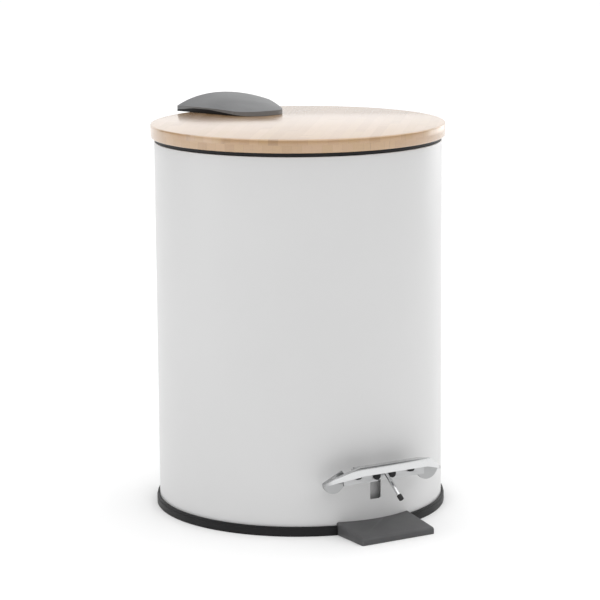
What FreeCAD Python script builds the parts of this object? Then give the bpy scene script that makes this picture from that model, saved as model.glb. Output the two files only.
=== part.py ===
import FreeCAD, Part

import math
import os

import Sketcher
from FreeCAD import Rotation, Vector

# A five litre round pedal bin: a steel drum on a moulded base, a bamboo lid on a rear hinge, an
# inner bucket, and a pedal whose lever lifts a rod that turns the lid.
# Lengths are in millimetres and angles in degrees. +Z is up, the front of the bin faces -Y, and the
# origin is the middle of the base's underside, on the floor.

DRIVING_SIZES = [
    ("drum_radius", 100.0, "outside of the steel drum"),
    ("drum_sheet", 0.8, "sheet of the drum"),
    ("drum_top", 257.5, "height of the drum's top edge"),
    ("hem_height", 2.2, "height of the drum's folded top hem"),
    ("hem_sheet", 0.9, "extra thickness of the hem, on the inside"),
    ("base_floor", 3.2, "floor of the base moulding"),
    ("ring_width", 1.8, "base ring's wall outside the drum"),
    ("ring_height", 6.55, "height of the base ring"),
    ("ring_step", 0.4, "step below the ring's top edge"),
    ("ring_step_height", 4.8, "height of that step"),
    ("rib_width", 1.7, "rib of the base inside the drum"),
    ("rib_height", 8.0, "height of that rib"),
    ("seat_gap", 0.3, "gap round the drum's foot in the base"),
    ("foot_width", 57.6, "stabiliser foot across the front"),
    ("foot_length", 29.5, "front edge of the foot, from the drum"),
    ("foot_back_height", 8.3, "foot at the drum's wall"),
    ("foot_front_height", 4.6, "foot at its front edge"),
    ("tongue_thick", 1.6, "tongue of the foot under the base"),
    ("tongue_length", 14.0, "tongue, inwards from the drum"),
    ("foot_screw_spread", 17.0, "foot screws, from the middle plane"),
    ("foot_screw_inset", 8.5, "foot screws, inwards from the drum"),
    ("pad_radius", 8.0, "anti-slip pads"),
    ("pad_depth", 1.2, "recess of the pads"),
    ("pad_inset", 22.0, "pads, inwards from the drum"),
    ("lid_overhang", 2.5, "bamboo lid beyond the drum"),
    ("lid_thick", 9.3, "bamboo lid"),
    ("lid_gap", 2.7, "shadow gap from the drum to the lid"),
    ("lid_round", 0.9, "rounding of the lid's edges"),
    ("lid_notch_half", 27.0, "half width of the lid's rear notch"),
    ("lid_notch_depth", 4.5, "depth of that notch"),
    ("liner_inset", 2.9, "plate under the lid, in from the lid's edge"),
    ("liner_thick", 2.2, "plate under the lid"),
    ("liner_rib_inset", 16.0, "locating rib of the liner, in from the drum"),
    ("liner_rib_height", 3.0, "height of that rib"),
    ("collar_height", 10.3, "rim collar inside the drum"),
    ("collar_wall", 2.9, "wall of the collar"),
    ("collar_ledge", 5.2, "ledge that carries the bucket"),
    ("collar_notch_half", 15.0, "half width of the collar's rear notch"),
    ("bucket_room", 11.0, "drum's outside to the bucket, below its flange"),
    ("bucket_taper", 7.0, "bucket narrower at its bottom"),
    ("bucket_wall", 1.8, "bucket"),
    ("bucket_clearance", 4.5, "bucket above the raised lever"),
    ("bucket_flange", 2.0, "thickness of the bucket's flange"),
    ("bucket_notch_half", 10.0, "half width of the flange's rear notch"),
    ("bail_inset", 7.5, "ring of the bucket's bail, in from the drum"),
    ("bail_wire", 1.3, "radius of the bail's wire"),
    ("grip_radius", 2.4, "grip on the bail"),
    ("pivot_height", 12.0, "pivot pin of the pedal's lever"),
    ("pivot_pin_radius", 2.0, "pivot pin"),
    ("running_gap", 0.06, "radial clearance of a turning pin"),
    ("lever_width", 18.0, "lever strip"),
    ("lever_thick", 2.5, "lever strip"),
    ("lever_clearance", 1.0, "pressed lever above the base's floor"),
    ("neck_width", 7.0, "lever where it passes the drum's wall"),
    ("neck_drop", 14.0, "underside of that neck, below the tread's top"),
    ("press_angle", 9.0, "travel of the pedal"),
    ("rod_inset", 5.5, "lift rod, in from the drum's outside"),
    ("rod_radius", 2.0, "lift rod"),
    ("open_angle", 75.0, "travel of the lid"),
    ("hinge_rise", 4.5, "hinge pin above the drum"),
    ("hinge_pin_radius", 2.0, "hinge pin"),
    ("knuckle_radius", 4.5, "lid's hinge knuckle"),
    ("knuckle_half", 18.0, "half length of that knuckle"),
    ("ear_thick", 4.0, "ears of the hinge bracket"),
    ("ear_radius", 5.5, "round end of those ears"),
    ("crank_pin_radius", 1.5, "crank pin"),
    ("cover_nose", 21.5, "radius of the hinge cover's nose"),
    ("cover_nose_inset", 36.0, "centre of that nose, in from the drum"),
    ("cover_rear_half", 42.5, "half width of the cover at the rear"),
    ("cover_overhang", 13.0, "rear edge of the cover, out from the drum"),
    ("cover_front_rise", 2.9, "top of the cover at its nose, above the lid"),
    ("cover_rear_rise", 12.1, "top of the cover at its rear edge, above the lid"),
    ("cover_crown", 100.0, "radius of the cover's crown across"),
    ("cover_wall", 2.2, "wall of the cover"),
    ("tread_reach", 25.0, "front of the chromed tread, from the drum"),
    ("tread_half", 27.5, "half length of its straight front"),
    ("tread_top", 52.5, "top of the tread"),
    ("tip_half", 46.3, "half width over the wing tips"),
    ("tip_reach", 10.0, "front of the wing tips, from the drum"),
    ("tip_drop", 11.9, "wing tips below the top"),
    ("tread_sheet", 1.2, "sheet of the tread"),
    ("tread_lip", 6.0, "front lip below the top"),
    ("tread_depth", 12.5, "top plate, front to back"),
    ("tread_slope", 11.0, "fall of the top plate towards the drum"),
    ("ear_setback", 2.9, "ears, behind the wing tips"),
    ("ear_disc_radius", 8.7, "round ears under the wings"),
    ("ear_disc_place", 37.2, "ears, from the middle plane"),
    ("bracket_half", 32.0, "half length of the pedal bracket"),
    ("bracket_sheet", 1.5, "sheet of the pedal bracket"),
    ("bracket_drop", 15.0, "lower edge of the bracket, below the tread's top"),
    ("peg_radius", 1.3, "stop peg"),
    ("peg_length", 25.6, "stop peg"),
    ("peg_slope", 35.0, "slope of the peg below level"),
    ("guide_height", 92.0, "middle of the rod guide"),
]


class Size:
    """A number together with the spreadsheet formula that gives it."""

    def __init__(self, value, formula):
        self.value = value
        self.formula = formula

    def join(self, sign, value, other):
        return Size(value, f"({self.formula} {sign} {other.formula})")

    def __add__(self, other):
        other = as_size(other)
        return self.join("+", self.value + other.value, other)

    def __sub__(self, other):
        other = as_size(other)
        return self.join("-", self.value - other.value, other)

    def __mul__(self, other):
        other = as_size(other)
        return self.join("*", self.value * other.value, other)

    def __truediv__(self, other):
        other = as_size(other)
        return self.join("/", self.value / other.value, other)

    def __neg__(self):
        return Size(-self.value, f"(0 - {self.formula})")

    def __radd__(self, other):
        return as_size(other) + self

    def __rsub__(self, other):
        return as_size(other) - self

    def __rmul__(self, other):
        return as_size(other) * self


def as_size(number):
    if isinstance(number, Size):
        return number
    if number < 0:
        return Size(float(number), f"(0 - {-number})")
    return Size(float(number), str(number))


def sine(angle):
    angle = as_size(angle)
    return Size(math.sin(math.radians(angle.value)), f"sin({angle.formula} * 1 deg)")


def cosine(angle):
    angle = as_size(angle)
    return Size(math.cos(math.radians(angle.value)), f"cos({angle.formula} * 1 deg)")


def root(number):
    return Size(math.sqrt(number.value), f"sqrt({number.formula})")


class Bench:
    """The driving sizes as attributes, such as bin.drum_radius."""


doc = FreeCAD.newDocument("PedalBin")
sheet = doc.addObject("Spreadsheet::Sheet", "Sizes")
bin = Bench()
for row, (alias, value, meaning) in enumerate(DRIVING_SIZES, start=1):
    sheet.set(f"A{row}", meaning)
    sheet.set(f"B{row}", str(value))
    sheet.setAlias(f"B{row}", alias)
    setattr(bin, alias, Size(value, f"Sizes.{alias}"))
doc.recompute()

# Sizes that follow from the driving ones.
bin.foot_reach = bin.drum_radius + bin.foot_length
bin.tongue_end = bin.drum_radius - bin.tongue_length
bin.foot_screw_back = bin.drum_radius - bin.foot_screw_inset
bin.pad_circle = bin.drum_radius - bin.pad_inset
bin.lid_radius = bin.drum_radius + bin.lid_overhang
bin.liner_radius = bin.lid_radius - bin.liner_inset
bin.liner_rib_radius = bin.drum_radius - bin.liner_rib_inset
bin.bucket_top_radius = bin.drum_radius - bin.bucket_room
bin.bucket_base_radius = bin.bucket_top_radius - bin.bucket_taper
bin.bail_radius = bin.drum_radius - bin.bail_inset
bin.rod_place = bin.drum_radius - bin.rod_inset
bin.hinge_height = bin.drum_top + bin.hinge_rise
bin.cover_nose_place = bin.drum_radius - bin.cover_nose_inset
bin.cover_reach = bin.drum_radius + bin.cover_overhang
bin.tread_front = bin.drum_radius + bin.tread_reach
bin.tip_place = bin.drum_radius + bin.tip_reach
bin.tip_top = bin.tread_top - bin.tip_drop
bin.neck_height = bin.tread_top - bin.neck_drop
bin.bracket_low = bin.tread_top - bin.bracket_drop
drum_inside = bin.drum_radius - bin.drum_sheet
drum_foot = bin.base_floor + 0.2
ring_radius = bin.drum_radius + bin.seat_gap + bin.ring_width
rib_outside = drum_inside - bin.seat_gap
lid_bottom = bin.drum_top + bin.lid_gap
lid_top = lid_bottom + bin.lid_thick
bin.cover_front_top = lid_top + bin.cover_front_rise
bin.cover_rear_top = lid_top + bin.cover_rear_rise
liner_bottom = lid_bottom - bin.liner_thick
collar_top = bin.drum_top - 0.2
collar_outside = drum_inside - bin.hem_sheet - 0.1
ledge_top = collar_top - bin.collar_height + 2.0
flange_top = ledge_top + bin.bucket_flange
flange_radius = collar_outside - bin.collar_wall - 0.5
bail_height = flange_top + 2.8
leg_outside = drum_inside - 5.0
bin.lever_rise = bin.pivot_height + (leg_outside * sine(bin.press_angle) + bin.base_floor
                                     + bin.lever_clearance - bin.pivot_height) / cosine(bin.press_angle)
bin.bucket_floor = (bin.pivot_height + bin.lever_thick + bin.bucket_clearance
                    + bin.bucket_base_radius * sine(bin.press_angle))
rod_lift = bin.rod_place * sine(bin.press_angle)
half_open = bin.open_angle / 2
crank_reach = rod_lift * cosine(half_open) / (2 * sine(half_open))
hinge_place = bin.rod_place + crank_reach
crank_height = bin.hinge_height - rod_lift / 2
rod_sway = rod_lift / (2 * sine(half_open)) - crank_reach
notch_place = bin.lid_radius - bin.lid_notch_depth
lever_end = drum_inside - 1.9
neck_top = bin.neck_height + bin.lever_thick
bracket_back = bin.tip_place - 0.3
bracket_front = bracket_back + bin.bracket_sheet
tread_under = bin.tread_top - bin.tread_sheet
tread_fall = sine(bin.tread_slope) / cosine(bin.tread_slope)
nodes = []


def bind(thing, name, size):
    """Ties one property of an object to the spreadsheet."""
    thing.setExpression(name, as_size(size).formula)


def place(thing, x, y, z):
    bind(thing, "Placement.Base.x", x)
    bind(thing, "Placement.Base.y", y)
    bind(thing, "Placement.Base.z", z)
    return thing


def finish(thing, node):
    """Names the object that is one sub-part of the bin."""
    thing.Label = node
    nodes.append(thing)
    return thing


def box(name, low, high):
    """A block between two corners."""
    block = doc.addObject("Part::Box", name)
    for side, start, end in zip(("Length", "Width", "Height"), low, high):
        bind(block, side, as_size(end) - start)
    return place(block, *low)


def cylinder(name, radius, length, start, turn=None):
    """A round bar from its start, along +Z unless a rotation is given."""
    bar = doc.addObject("Part::Cylinder", name)
    bind(bar, "Radius", radius)
    bind(bar, "Height", length)
    if turn is not None:
        bar.Placement.Rotation = turn
    return place(bar, *start)


ALONG_X = Rotation(Vector(0, 1, 0), 90)
ALONG_Y = Rotation(Vector(1, 0, 0), -90)


def cross_bar(name, radius, half, y, z):
    """A round bar along X, centred on the middle plane."""
    return cylinder(name, radius, 2 * as_size(half), (-as_size(half), y, z), ALONG_X)


def radial_bar(name, radius, start, end, angle, z):
    """A round bar along the drum's radius, turned by an angle from +Y about Z."""
    turn = Rotation(Vector(0, 0, 1), angle).multiply(ALONG_Y)
    foot = (-start * sine(angle), start * cosine(angle), z)
    return cylinder(name, radius, end - start, foot, turn)


def cut(name, base, *tools):
    for step, tool in enumerate(tools):
        result = doc.addObject("Part::Cut", f"{name}{step}")
        result.Base = base
        result.Tool = tool
        base = result
    return base


def fuse(name, *shapes):
    result = doc.addObject("Part::MultiFuse", name)
    result.Shapes = list(shapes)
    result.Refine = True
    return result


def common(name, first, second):
    result = doc.addObject("Part::Common", name)
    result.Base = first
    result.Tool = second
    return result


def group(name, things):
    """Several equal solids in one node."""
    result = doc.addObject("Part::Compound", name)
    result.Links = things
    return result


def outline(body, name, role, corners, offset=None):
    """A closed sketch of straight lines on one of the body's own planes."""
    sketch = body.newObject("Sketcher::SketchObject", name)
    plane = next(item for item in body.Origin.OriginFeatures if item.Role == role)
    sketch.AttachmentSupport = [(plane, "")]
    sketch.MapMode = "FlatFace"
    if offset is not None:
        bind(sketch, "AttachmentOffset.Base.z", offset)
    corners = [(as_size(u), as_size(v)) for u, v in corners]
    points = [Vector(u.value, v.value, 0) for u, v in corners]
    for index, start in enumerate(points):
        following = (index + 1) % len(points)
        sketch.addGeometry(Part.LineSegment(start, points[following]), False)
    for index in range(len(points)):
        following = (index + 1) % len(points)
        sketch.addConstraint(Sketcher.Constraint("Coincident", index, 2, following, 1))
    for index, corner in enumerate(corners):
        for kind, size in zip(("DistanceX", "DistanceY"), corner):
            limit = Sketcher.Constraint(kind, -1, 1, index, 1, size.value)
            number = sketch.addConstraint(limit)
            bind(sketch, f"Constraints[{number}]", size)
    return sketch


def turned(name, corners):
    """A body of revolution about Z. Each corner is a radius and a height."""
    body = doc.addObject("PartDesign::Body", name)
    sketch = outline(body, f"{name}Profile", "XZ_Plane", corners)
    solid = body.newObject("PartDesign::Revolution", f"{name}Turned")
    solid.Profile = sketch
    solid.ReferenceAxis = (sketch, ["V_Axis"])
    solid.Angle = 360
    return body


def plate(name, role, corners, start, length):
    """A straight-sided plate, padded along its plane's normal from a start."""
    body = doc.addObject("PartDesign::Body", name)
    sketch = outline(body, f"{name}Outline", role, corners, start)
    pad = body.newObject("PartDesign::Pad", f"{name}Pad")
    pad.Profile = sketch
    bind(pad, "Length", length)
    return body


def across(name, corners, half):
    """A plate drawn from the side, centred on the middle plane."""
    half = as_size(half)
    return plate(name, "YZ_Plane", corners, -half, 2 * half)


def pocket(body, name, corners, role, start, length, upward=False):
    """A straight-sided pocket in a body, checked to have taken material away."""
    doc.recompute()
    before = body.Shape.Volume
    sketch = outline(body, f"{name}Outline", role, corners, start)
    hole = body.newObject("PartDesign::Pocket", name)
    hole.Profile = sketch
    hole.Reversed = upward
    bind(hole, "Length", length)
    doc.recompute()
    if body.Shape.Volume > before - 0.1:
        raise ValueError(f"pocket {name} takes nothing away")
    return hole


def edges_where(shape, test):
    """The names of the edges that pass a test of their middle point."""
    found = []
    for number, edge in enumerate(shape.Edges, start=1):
        middle = edge.valueAt((edge.FirstParameter + edge.LastParameter) / 2)
        if test(edge, middle):
            found.append(f"Edge{number}")
    return found


def rounded(body, name, radius, test):
    """A fillet on the edges of the body's tip that pass the test."""
    doc.recompute()
    fillet = body.newObject("PartDesign::Fillet", name)
    base = fillet.BaseFeature
    fillet.Base = (base, edges_where(base.Shape, test))
    bind(fillet, "Radius", radius)
    return fillet


def build_drum():
    """The rolled sheet wall with its hem, pedal slot and rivet holes."""
    wall = turned("Drum", [
        (drum_inside, drum_foot),
        (bin.drum_radius, drum_foot),
        (bin.drum_radius, bin.drum_top),
        (drum_inside - bin.hem_sheet, bin.drum_top),
        (drum_inside - bin.hem_sheet, bin.drum_top - bin.hem_height),
        (drum_inside, bin.drum_top - bin.hem_height),
    ])
    slot_half = bin.neck_width / 2 + 0.8
    neck_rise = bin.neck_height - bin.pivot_height
    slot_low = (bin.pivot_height + neck_rise * cosine(bin.press_angle)
                - bin.drum_radius * sine(bin.press_angle) - 0.6)
    slot_high = neck_top + 0.9
    corners = [(-slot_half, slot_low), (slot_half, slot_low),
               (slot_half, slot_high), (-slot_half, slot_high)]
    pocket(wall, "PedalSlot", corners, "XZ_Plane", bin.drum_radius / 2, bin.drum_radius, upward=True)
    return finish(cut("DrumDrilled", wall, *rivet_bars("DrumHole")), "body_shell")


def rivet_bars(name):
    """The shanks of the bracket's four rivets and the guide's two, or the holes for them."""
    bars = []
    start = drum_inside - 4.0
    for angle in (-10.5, 10.5):
        for z in bracket_rivet_heights:
            bars.append(radial_bar(f"{name}Bracket", 1.6, start, bin.drum_radius + 4.0, angle, z))
    for angle in (-3.0, 3.0):
        bars.append(radial_bar(f"{name}Guide", 1.2, start, bin.drum_radius + 1.0, angle,
                               bin.guide_height))
    return bars


bracket_low = bin.hinge_height - 36.0
bracket_rivet_heights = (bracket_low + 5.0, bracket_low + 17.0)


def build_base():
    """The floor moulding with the groove that holds the drum, and its rubber pads."""
    tray = turned("Tray", [
        (0.0, 0.0),
        (ring_radius, 0.0),
        (ring_radius, bin.ring_step_height),
        (ring_radius - bin.ring_step, bin.ring_step_height),
        (ring_radius - bin.ring_step, bin.ring_height),
        (bin.drum_radius + bin.seat_gap, bin.ring_height),
        (bin.drum_radius + bin.seat_gap, bin.base_floor),
        (rib_outside, bin.base_floor),
        (rib_outside, bin.rib_height),
        (rib_outside - bin.rib_width, bin.rib_height),
        (rib_outside - bin.rib_width, bin.base_floor),
        (0.0, bin.base_floor),
    ])
    doc.recompute()
    before = tray.Shape.Volume
    sketch = tray.newObject("Sketcher::SketchObject", "PadCircle")
    plane = next(item for item in tray.Origin.OriginFeatures if item.Role == "XY_Plane")
    sketch.AttachmentSupport = [(plane, "")]
    sketch.MapMode = "FlatFace"
    reach = bin.pad_circle * cosine(45)
    centre = Vector(reach.value, reach.value, 0)
    sketch.addGeometry(Part.Circle(centre, Vector(0, 0, 1), bin.pad_radius.value), False)
    limits = [("DistanceX", reach), ("DistanceY", reach)]
    for kind, size in limits:
        number = sketch.addConstraint(Sketcher.Constraint(kind, -1, 1, 0, 3, size.value))
        bind(sketch, f"Constraints[{number}]", size)
    number = sketch.addConstraint(Sketcher.Constraint("Radius", 0, bin.pad_radius.value))
    bind(sketch, f"Constraints[{number}]", bin.pad_radius)
    recess = tray.newObject("PartDesign::Pocket", "PadRecess")
    recess.Profile = sketch
    recess.Reversed = True
    bind(recess, "Length", bin.pad_depth)
    doc.recompute()
    pattern = tray.newObject("PartDesign::PolarPattern", "PadRecesses")
    pattern.Originals = [recess]
    pattern.Axis = (sketch, ["N_Axis"])
    pattern.Angle = 360
    pattern.Occurrences = 4
    tray.Tip = pattern
    doc.recompute()
    if tray.Shape.Volume > before - 3.9 * math.pi * bin.pad_radius.value ** 2 * bin.pad_depth.value:
        raise ValueError("the pad recesses are not all cut")

    foot_half = bin.foot_width / 2 + 0.15
    opening = box("FootOpening", (-foot_half, -ring_radius - 1.0, -1.0),
                  (foot_half, -bin.drum_radius * 0.9, bin.ring_height + 1.0))
    kept = cylinder("FootOpeningKept", bin.drum_radius + bin.seat_gap, bin.ring_height + 4.0, (0, 0, -2))
    opening = cut("FootOpeningCut", opening, kept)
    tongue_room = box("TongueRoom", (-foot_half, -ring_radius - 1.0, -1.0),
                      (foot_half, -bin.tongue_end + 0.2, bin.tongue_thick))
    bosses = []
    holes = []
    for side in (-1, 1):
        spot = (side * bin.foot_screw_spread, -bin.foot_screw_back)
        bosses.append(cylinder("FootBoss", 3.4, bin.rib_height - bin.tongue_thick,
                               (*spot, bin.tongue_thick)))
        holes.append(cylinder("FootBossHole", 1.25, bin.rib_height - 1.0, (*spot, 0)))
        holes.append(cylinder("StandHole", 1.25, bin.base_floor, (0, side * 14.0, 0.6)))
    tray = fuse("TrayBosses", tray, *bosses)
    finish(cut("TrayCut", tray, opening, tongue_room, *holes), "base_tray")

    pads = []
    for quarter in range(4):
        angle = 45 + 90 * quarter
        pads.append(cylinder("Pad", bin.pad_radius - 0.1, bin.pad_depth,
                             (bin.pad_circle * cosine(angle), bin.pad_circle * sine(angle), 0)))
    finish(group("Pads", pads), "anti_slip_pads")


def build_foot():
    """The low wedge in front of the drum, held under the base by a tongue and two screws."""
    slope = (bin.foot_back_height - bin.foot_front_height) / (bin.foot_reach - bin.drum_radius)
    inner = bin.drum_radius * 0.92
    wedge = across("FootWedge", [
        (-inner, 0.0),
        (-bin.foot_reach, 0.0),
        (-bin.foot_reach, bin.foot_front_height),
        (-inner, bin.foot_back_height + slope * (bin.drum_radius - inner)),
    ], bin.foot_width / 2)
    front = bin.foot_reach.value
    rounded(wedge, "FootFront", 2.2,
            lambda edge, middle: abs(middle.y + front) < 0.01 and abs(middle.x) < 1 and middle.z > 1)
    rounded(wedge, "FootCorners", 1.6,
            lambda edge, middle: middle.y + front < 0.01 and abs(middle.x) > 20 and 0.5 < middle.z < 3.0)
    room = cylinder("FootDrumRoom", bin.drum_radius + bin.seat_gap, 40.0, (0, 0, -1))
    wedge = cut("FootShaped", wedge, room)
    tongue = box("FootTongue", (-bin.foot_width / 2, -bin.drum_radius - 2.0, 0.0),
                 (bin.foot_width / 2, -bin.tongue_end, bin.tongue_thick))
    foot = fuse("FootWhole", wedge, tongue)
    screws = []
    tools = []
    for side in (-1, 1):
        spot = (side * bin.foot_screw_spread, -bin.foot_screw_back)
        tools.append(cylinder("FootBore", 1.35, 4.0, (*spot, -1)))
        tools.append(cylinder("FootCounterbore", 2.9, 2.0, (*spot, -1)))
        head = cylinder("FootScrewHead", 2.7, 0.9, (*spot, 0.1))
        shank = cylinder("FootScrewShank", 1.25, bin.rib_height - 2.0, (*spot, 0.5))
        screws.append(fuse("FootScrew", head, shank))
    finish(cut("FootDrilled", foot, *tools), "stabiliser_foot")
    finish(group("FootScrews", screws), "foot_screws")


def build_collar():
    """The plastic collar in the drum's mouth, whose ledge carries the bucket."""
    low = collar_top - bin.collar_height
    ring = turned("Collar", [
        (collar_outside - bin.collar_wall - bin.collar_ledge, low),
        (collar_outside, low),
        (collar_outside, collar_top),
        (collar_outside - bin.collar_wall, collar_top),
        (collar_outside - bin.collar_wall, ledge_top),
        (collar_outside - bin.collar_wall - bin.collar_ledge, ledge_top),
    ])
    notch = box("CollarNotch", (-bin.collar_notch_half, bin.drum_radius / 2, low - 1.0),
                (bin.collar_notch_half, bin.drum_radius, bin.drum_top))
    finish(cut("CollarCut", ring, notch), "rim_collar")


def build_bucket():
    """The tapered inner bucket with its flange, bail lugs, bail and grip."""
    foot = 2.0
    top = bin.bucket_top_radius
    base = bin.bucket_base_radius
    pail = turned("Bucket", [
        (0.0, bin.bucket_floor),
        (base - foot, bin.bucket_floor),
        (base, bin.bucket_floor + foot),
        (top, ledge_top),
        (flange_radius, ledge_top),
        (flange_radius, flange_top),
        (top - bin.bucket_wall, flange_top),
        (base - bin.bucket_wall, bin.bucket_floor + foot + bin.bucket_wall),
        (base - foot - bin.bucket_wall, bin.bucket_floor + bin.bucket_wall),
        (0.0, bin.bucket_floor + bin.bucket_wall),
    ])
    notch = box("FlangeNotch", (-bin.bucket_notch_half, top * 0.8, ledge_top - 3.0),
                (bin.bucket_notch_half, flange_radius + 2.0, flange_top + 1.0))
    kept = cylinder("FlangeKept", top, bin.bucket_flange + 8.0, (0, 0, ledge_top - 4.0))
    pail = cut("BucketNotched", pail, cut("FlangeNotchTool", notch, kept))
    lugs = []
    pins = []
    for side in (-1, 1):
        inner = bin.bail_radius - 5.2
        outer = bin.bail_radius - 2.0
        low, high = (inner, outer) if side > 0 else (-outer, -inner)
        lugs.append(box("BailLug", (low, -3.0, flange_top), (high, 3.0, bail_height + 2.6)))
        start = low - 1.0
        pins.append(cylinder("LugHole", bin.bail_wire + 0.1, outer - inner + 2.0,
                             (start, 0, bail_height), ALONG_X))
    finish(cut("BucketLugged", fuse("BucketFused", pail, *lugs), *pins), "inner_bucket")

    ring = doc.addObject("Part::Torus", "BailRing")
    bind(ring, "Radius1", bin.bail_radius)
    bind(ring, "Radius2", bin.bail_wire)
    ring.Angle3 = 180
    ring.Placement.Rotation = Rotation(Vector(0, 0, 1), 180)
    place(ring, 0, 0, bail_height)
    pieces = [ring]
    for side in (-1, 1):
        knee = doc.addObject("Part::Sphere", "BailKnee")
        bind(knee, "Radius", bin.bail_wire)
        place(knee, side * bin.bail_radius, 0, bail_height)
        start = bin.bail_radius - 5.6 if side > 0 else -bin.bail_radius
        pieces.append(knee)
        pieces.append(cylinder("BailEnd", bin.bail_wire, 5.6, (start, 0, bail_height), ALONG_X))
    bail = finish(fuse("Bail", *pieces), "bucket_bail")
    sleeve = doc.addObject("Part::Torus", "GripSleeve")
    bind(sleeve, "Radius1", bin.bail_radius)
    bind(sleeve, "Radius2", bin.grip_radius)
    sleeve.Angle3 = 40
    sleeve.Placement.Rotation = Rotation(Vector(0, 0, 1), -110)
    place(sleeve, 0, 0, bail_height)
    finish(cut("Grip", sleeve, bail), "bail_grip")


def build_lid():
    """The bamboo lid, the plate under it with its screws, and the rubber buffers."""
    panel = turned("Lid", [
        (0.0, lid_bottom), (bin.lid_radius, lid_bottom), (bin.lid_radius, lid_top), (0.0, lid_top),
    ])
    radius = bin.lid_radius.value
    rounded(panel, "LidEdges", bin.lid_round,
            lambda edge, middle: edge.Curve.TypeId == "Part::GeomCircle"
            and abs(math.hypot(middle.x, middle.y) - radius) < 0.01)
    notch = [(-bin.lid_notch_half, notch_place), (bin.lid_notch_half, notch_place),
             (bin.lid_notch_half, bin.lid_radius + 2.0), (-bin.lid_notch_half, bin.lid_radius + 2.0)]
    pocket(panel, "LidNotch", notch, "XY_Plane", lid_top + 1.0, bin.lid_thick + 2.0)

    liner = turned("Liner", [
        (0.0, liner_bottom),
        (bin.liner_rib_radius, liner_bottom),
        (bin.liner_rib_radius, liner_bottom - bin.liner_rib_height),
        (bin.liner_rib_radius + 1.8, liner_bottom - bin.liner_rib_height),
        (bin.liner_rib_radius + 1.8, liner_bottom),
        (bin.liner_radius, liner_bottom),
        (bin.liner_radius, lid_bottom),
        (0.0, lid_bottom),
    ])
    pocket(liner, "LinerNotch", notch, "XY_Plane", lid_bottom + 1.0, bin.liner_thick + 2.0)

    screws = []
    holes = []
    for quarter in range(4):
        angle = 45 + 90 * quarter
        spot = (70.0 * cosine(angle), 70.0 * sine(angle))
        head = cylinder("LinerScrewHead", 3.0, 1.3, (*spot, liner_bottom - 1.3))
        shank = cylinder("LinerScrewShank", 1.4, bin.liner_thick + 6.5, (*spot, liner_bottom - 0.5))
        holes.append(cylinder("LinerScrewHole", 1.4, bin.liner_thick + 6.5, (*spot, liner_bottom - 0.5)))
        screws.append(fuse("LinerScrew", head, shank))
    finish(group("LinerScrews", screws), "liner_screws")

    buffers = []
    rooms = []
    for angle in (210, 270, 330):
        reach = collar_outside - bin.collar_wall / 2
        spot = (reach * cosine(angle), reach * sine(angle))
        buffers.append(cylinder("Buffer", 2.4, liner_bottom - bin.drum_top + 0.8, (*spot, bin.drum_top + 0.1)))
        rooms.append(cylinder("BufferRoom", 2.5, 2.0, (*spot, liner_bottom - 1.0)))
    finish(group("Buffers", buffers), "lid_buffers")

    clevis_holes = [clevis_screw("ClevisHole", side) for side in (-1, 1)]
    arm_holes = [shank for shank, head in arm_screws("ArmHole")]
    finish(cut("LinerDrilled", liner, *holes, *rooms, *clevis_holes), "lid_liner")
    finish(cut("LidDrilled", panel, *holes, *clevis_holes, *arm_holes), "lid_panel")


def clevis_screw(name, side):
    return cylinder(name, 1.25, bin.liner_thick + 6.0, (side * 8.0, clevis_front + 3.6, clevis_under))


clevis_front = bin.liner_rib_radius + 2.6
clevis_under = liner_bottom - 1.0


def arm_screws(name):
    """Shank and head of each screw that holds the hinge arm on the lid."""
    pairs = []
    for side in (-1, 1):
        for y in (arm_front + 8.0, arm_front + 26.0):
            shank = cylinder(f"{name}Shank", 1.4, bin.lid_thick - 0.8, (side * 9.0, y, lid_top - 6.5))
            head = cylinder(f"{name}Head", 2.6, 1.2, (side * 9.0, y, lid_top + 2.0))
            pairs.append((shank, head))
    return pairs


arm_front = bin.cover_nose_place - 4.0


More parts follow.
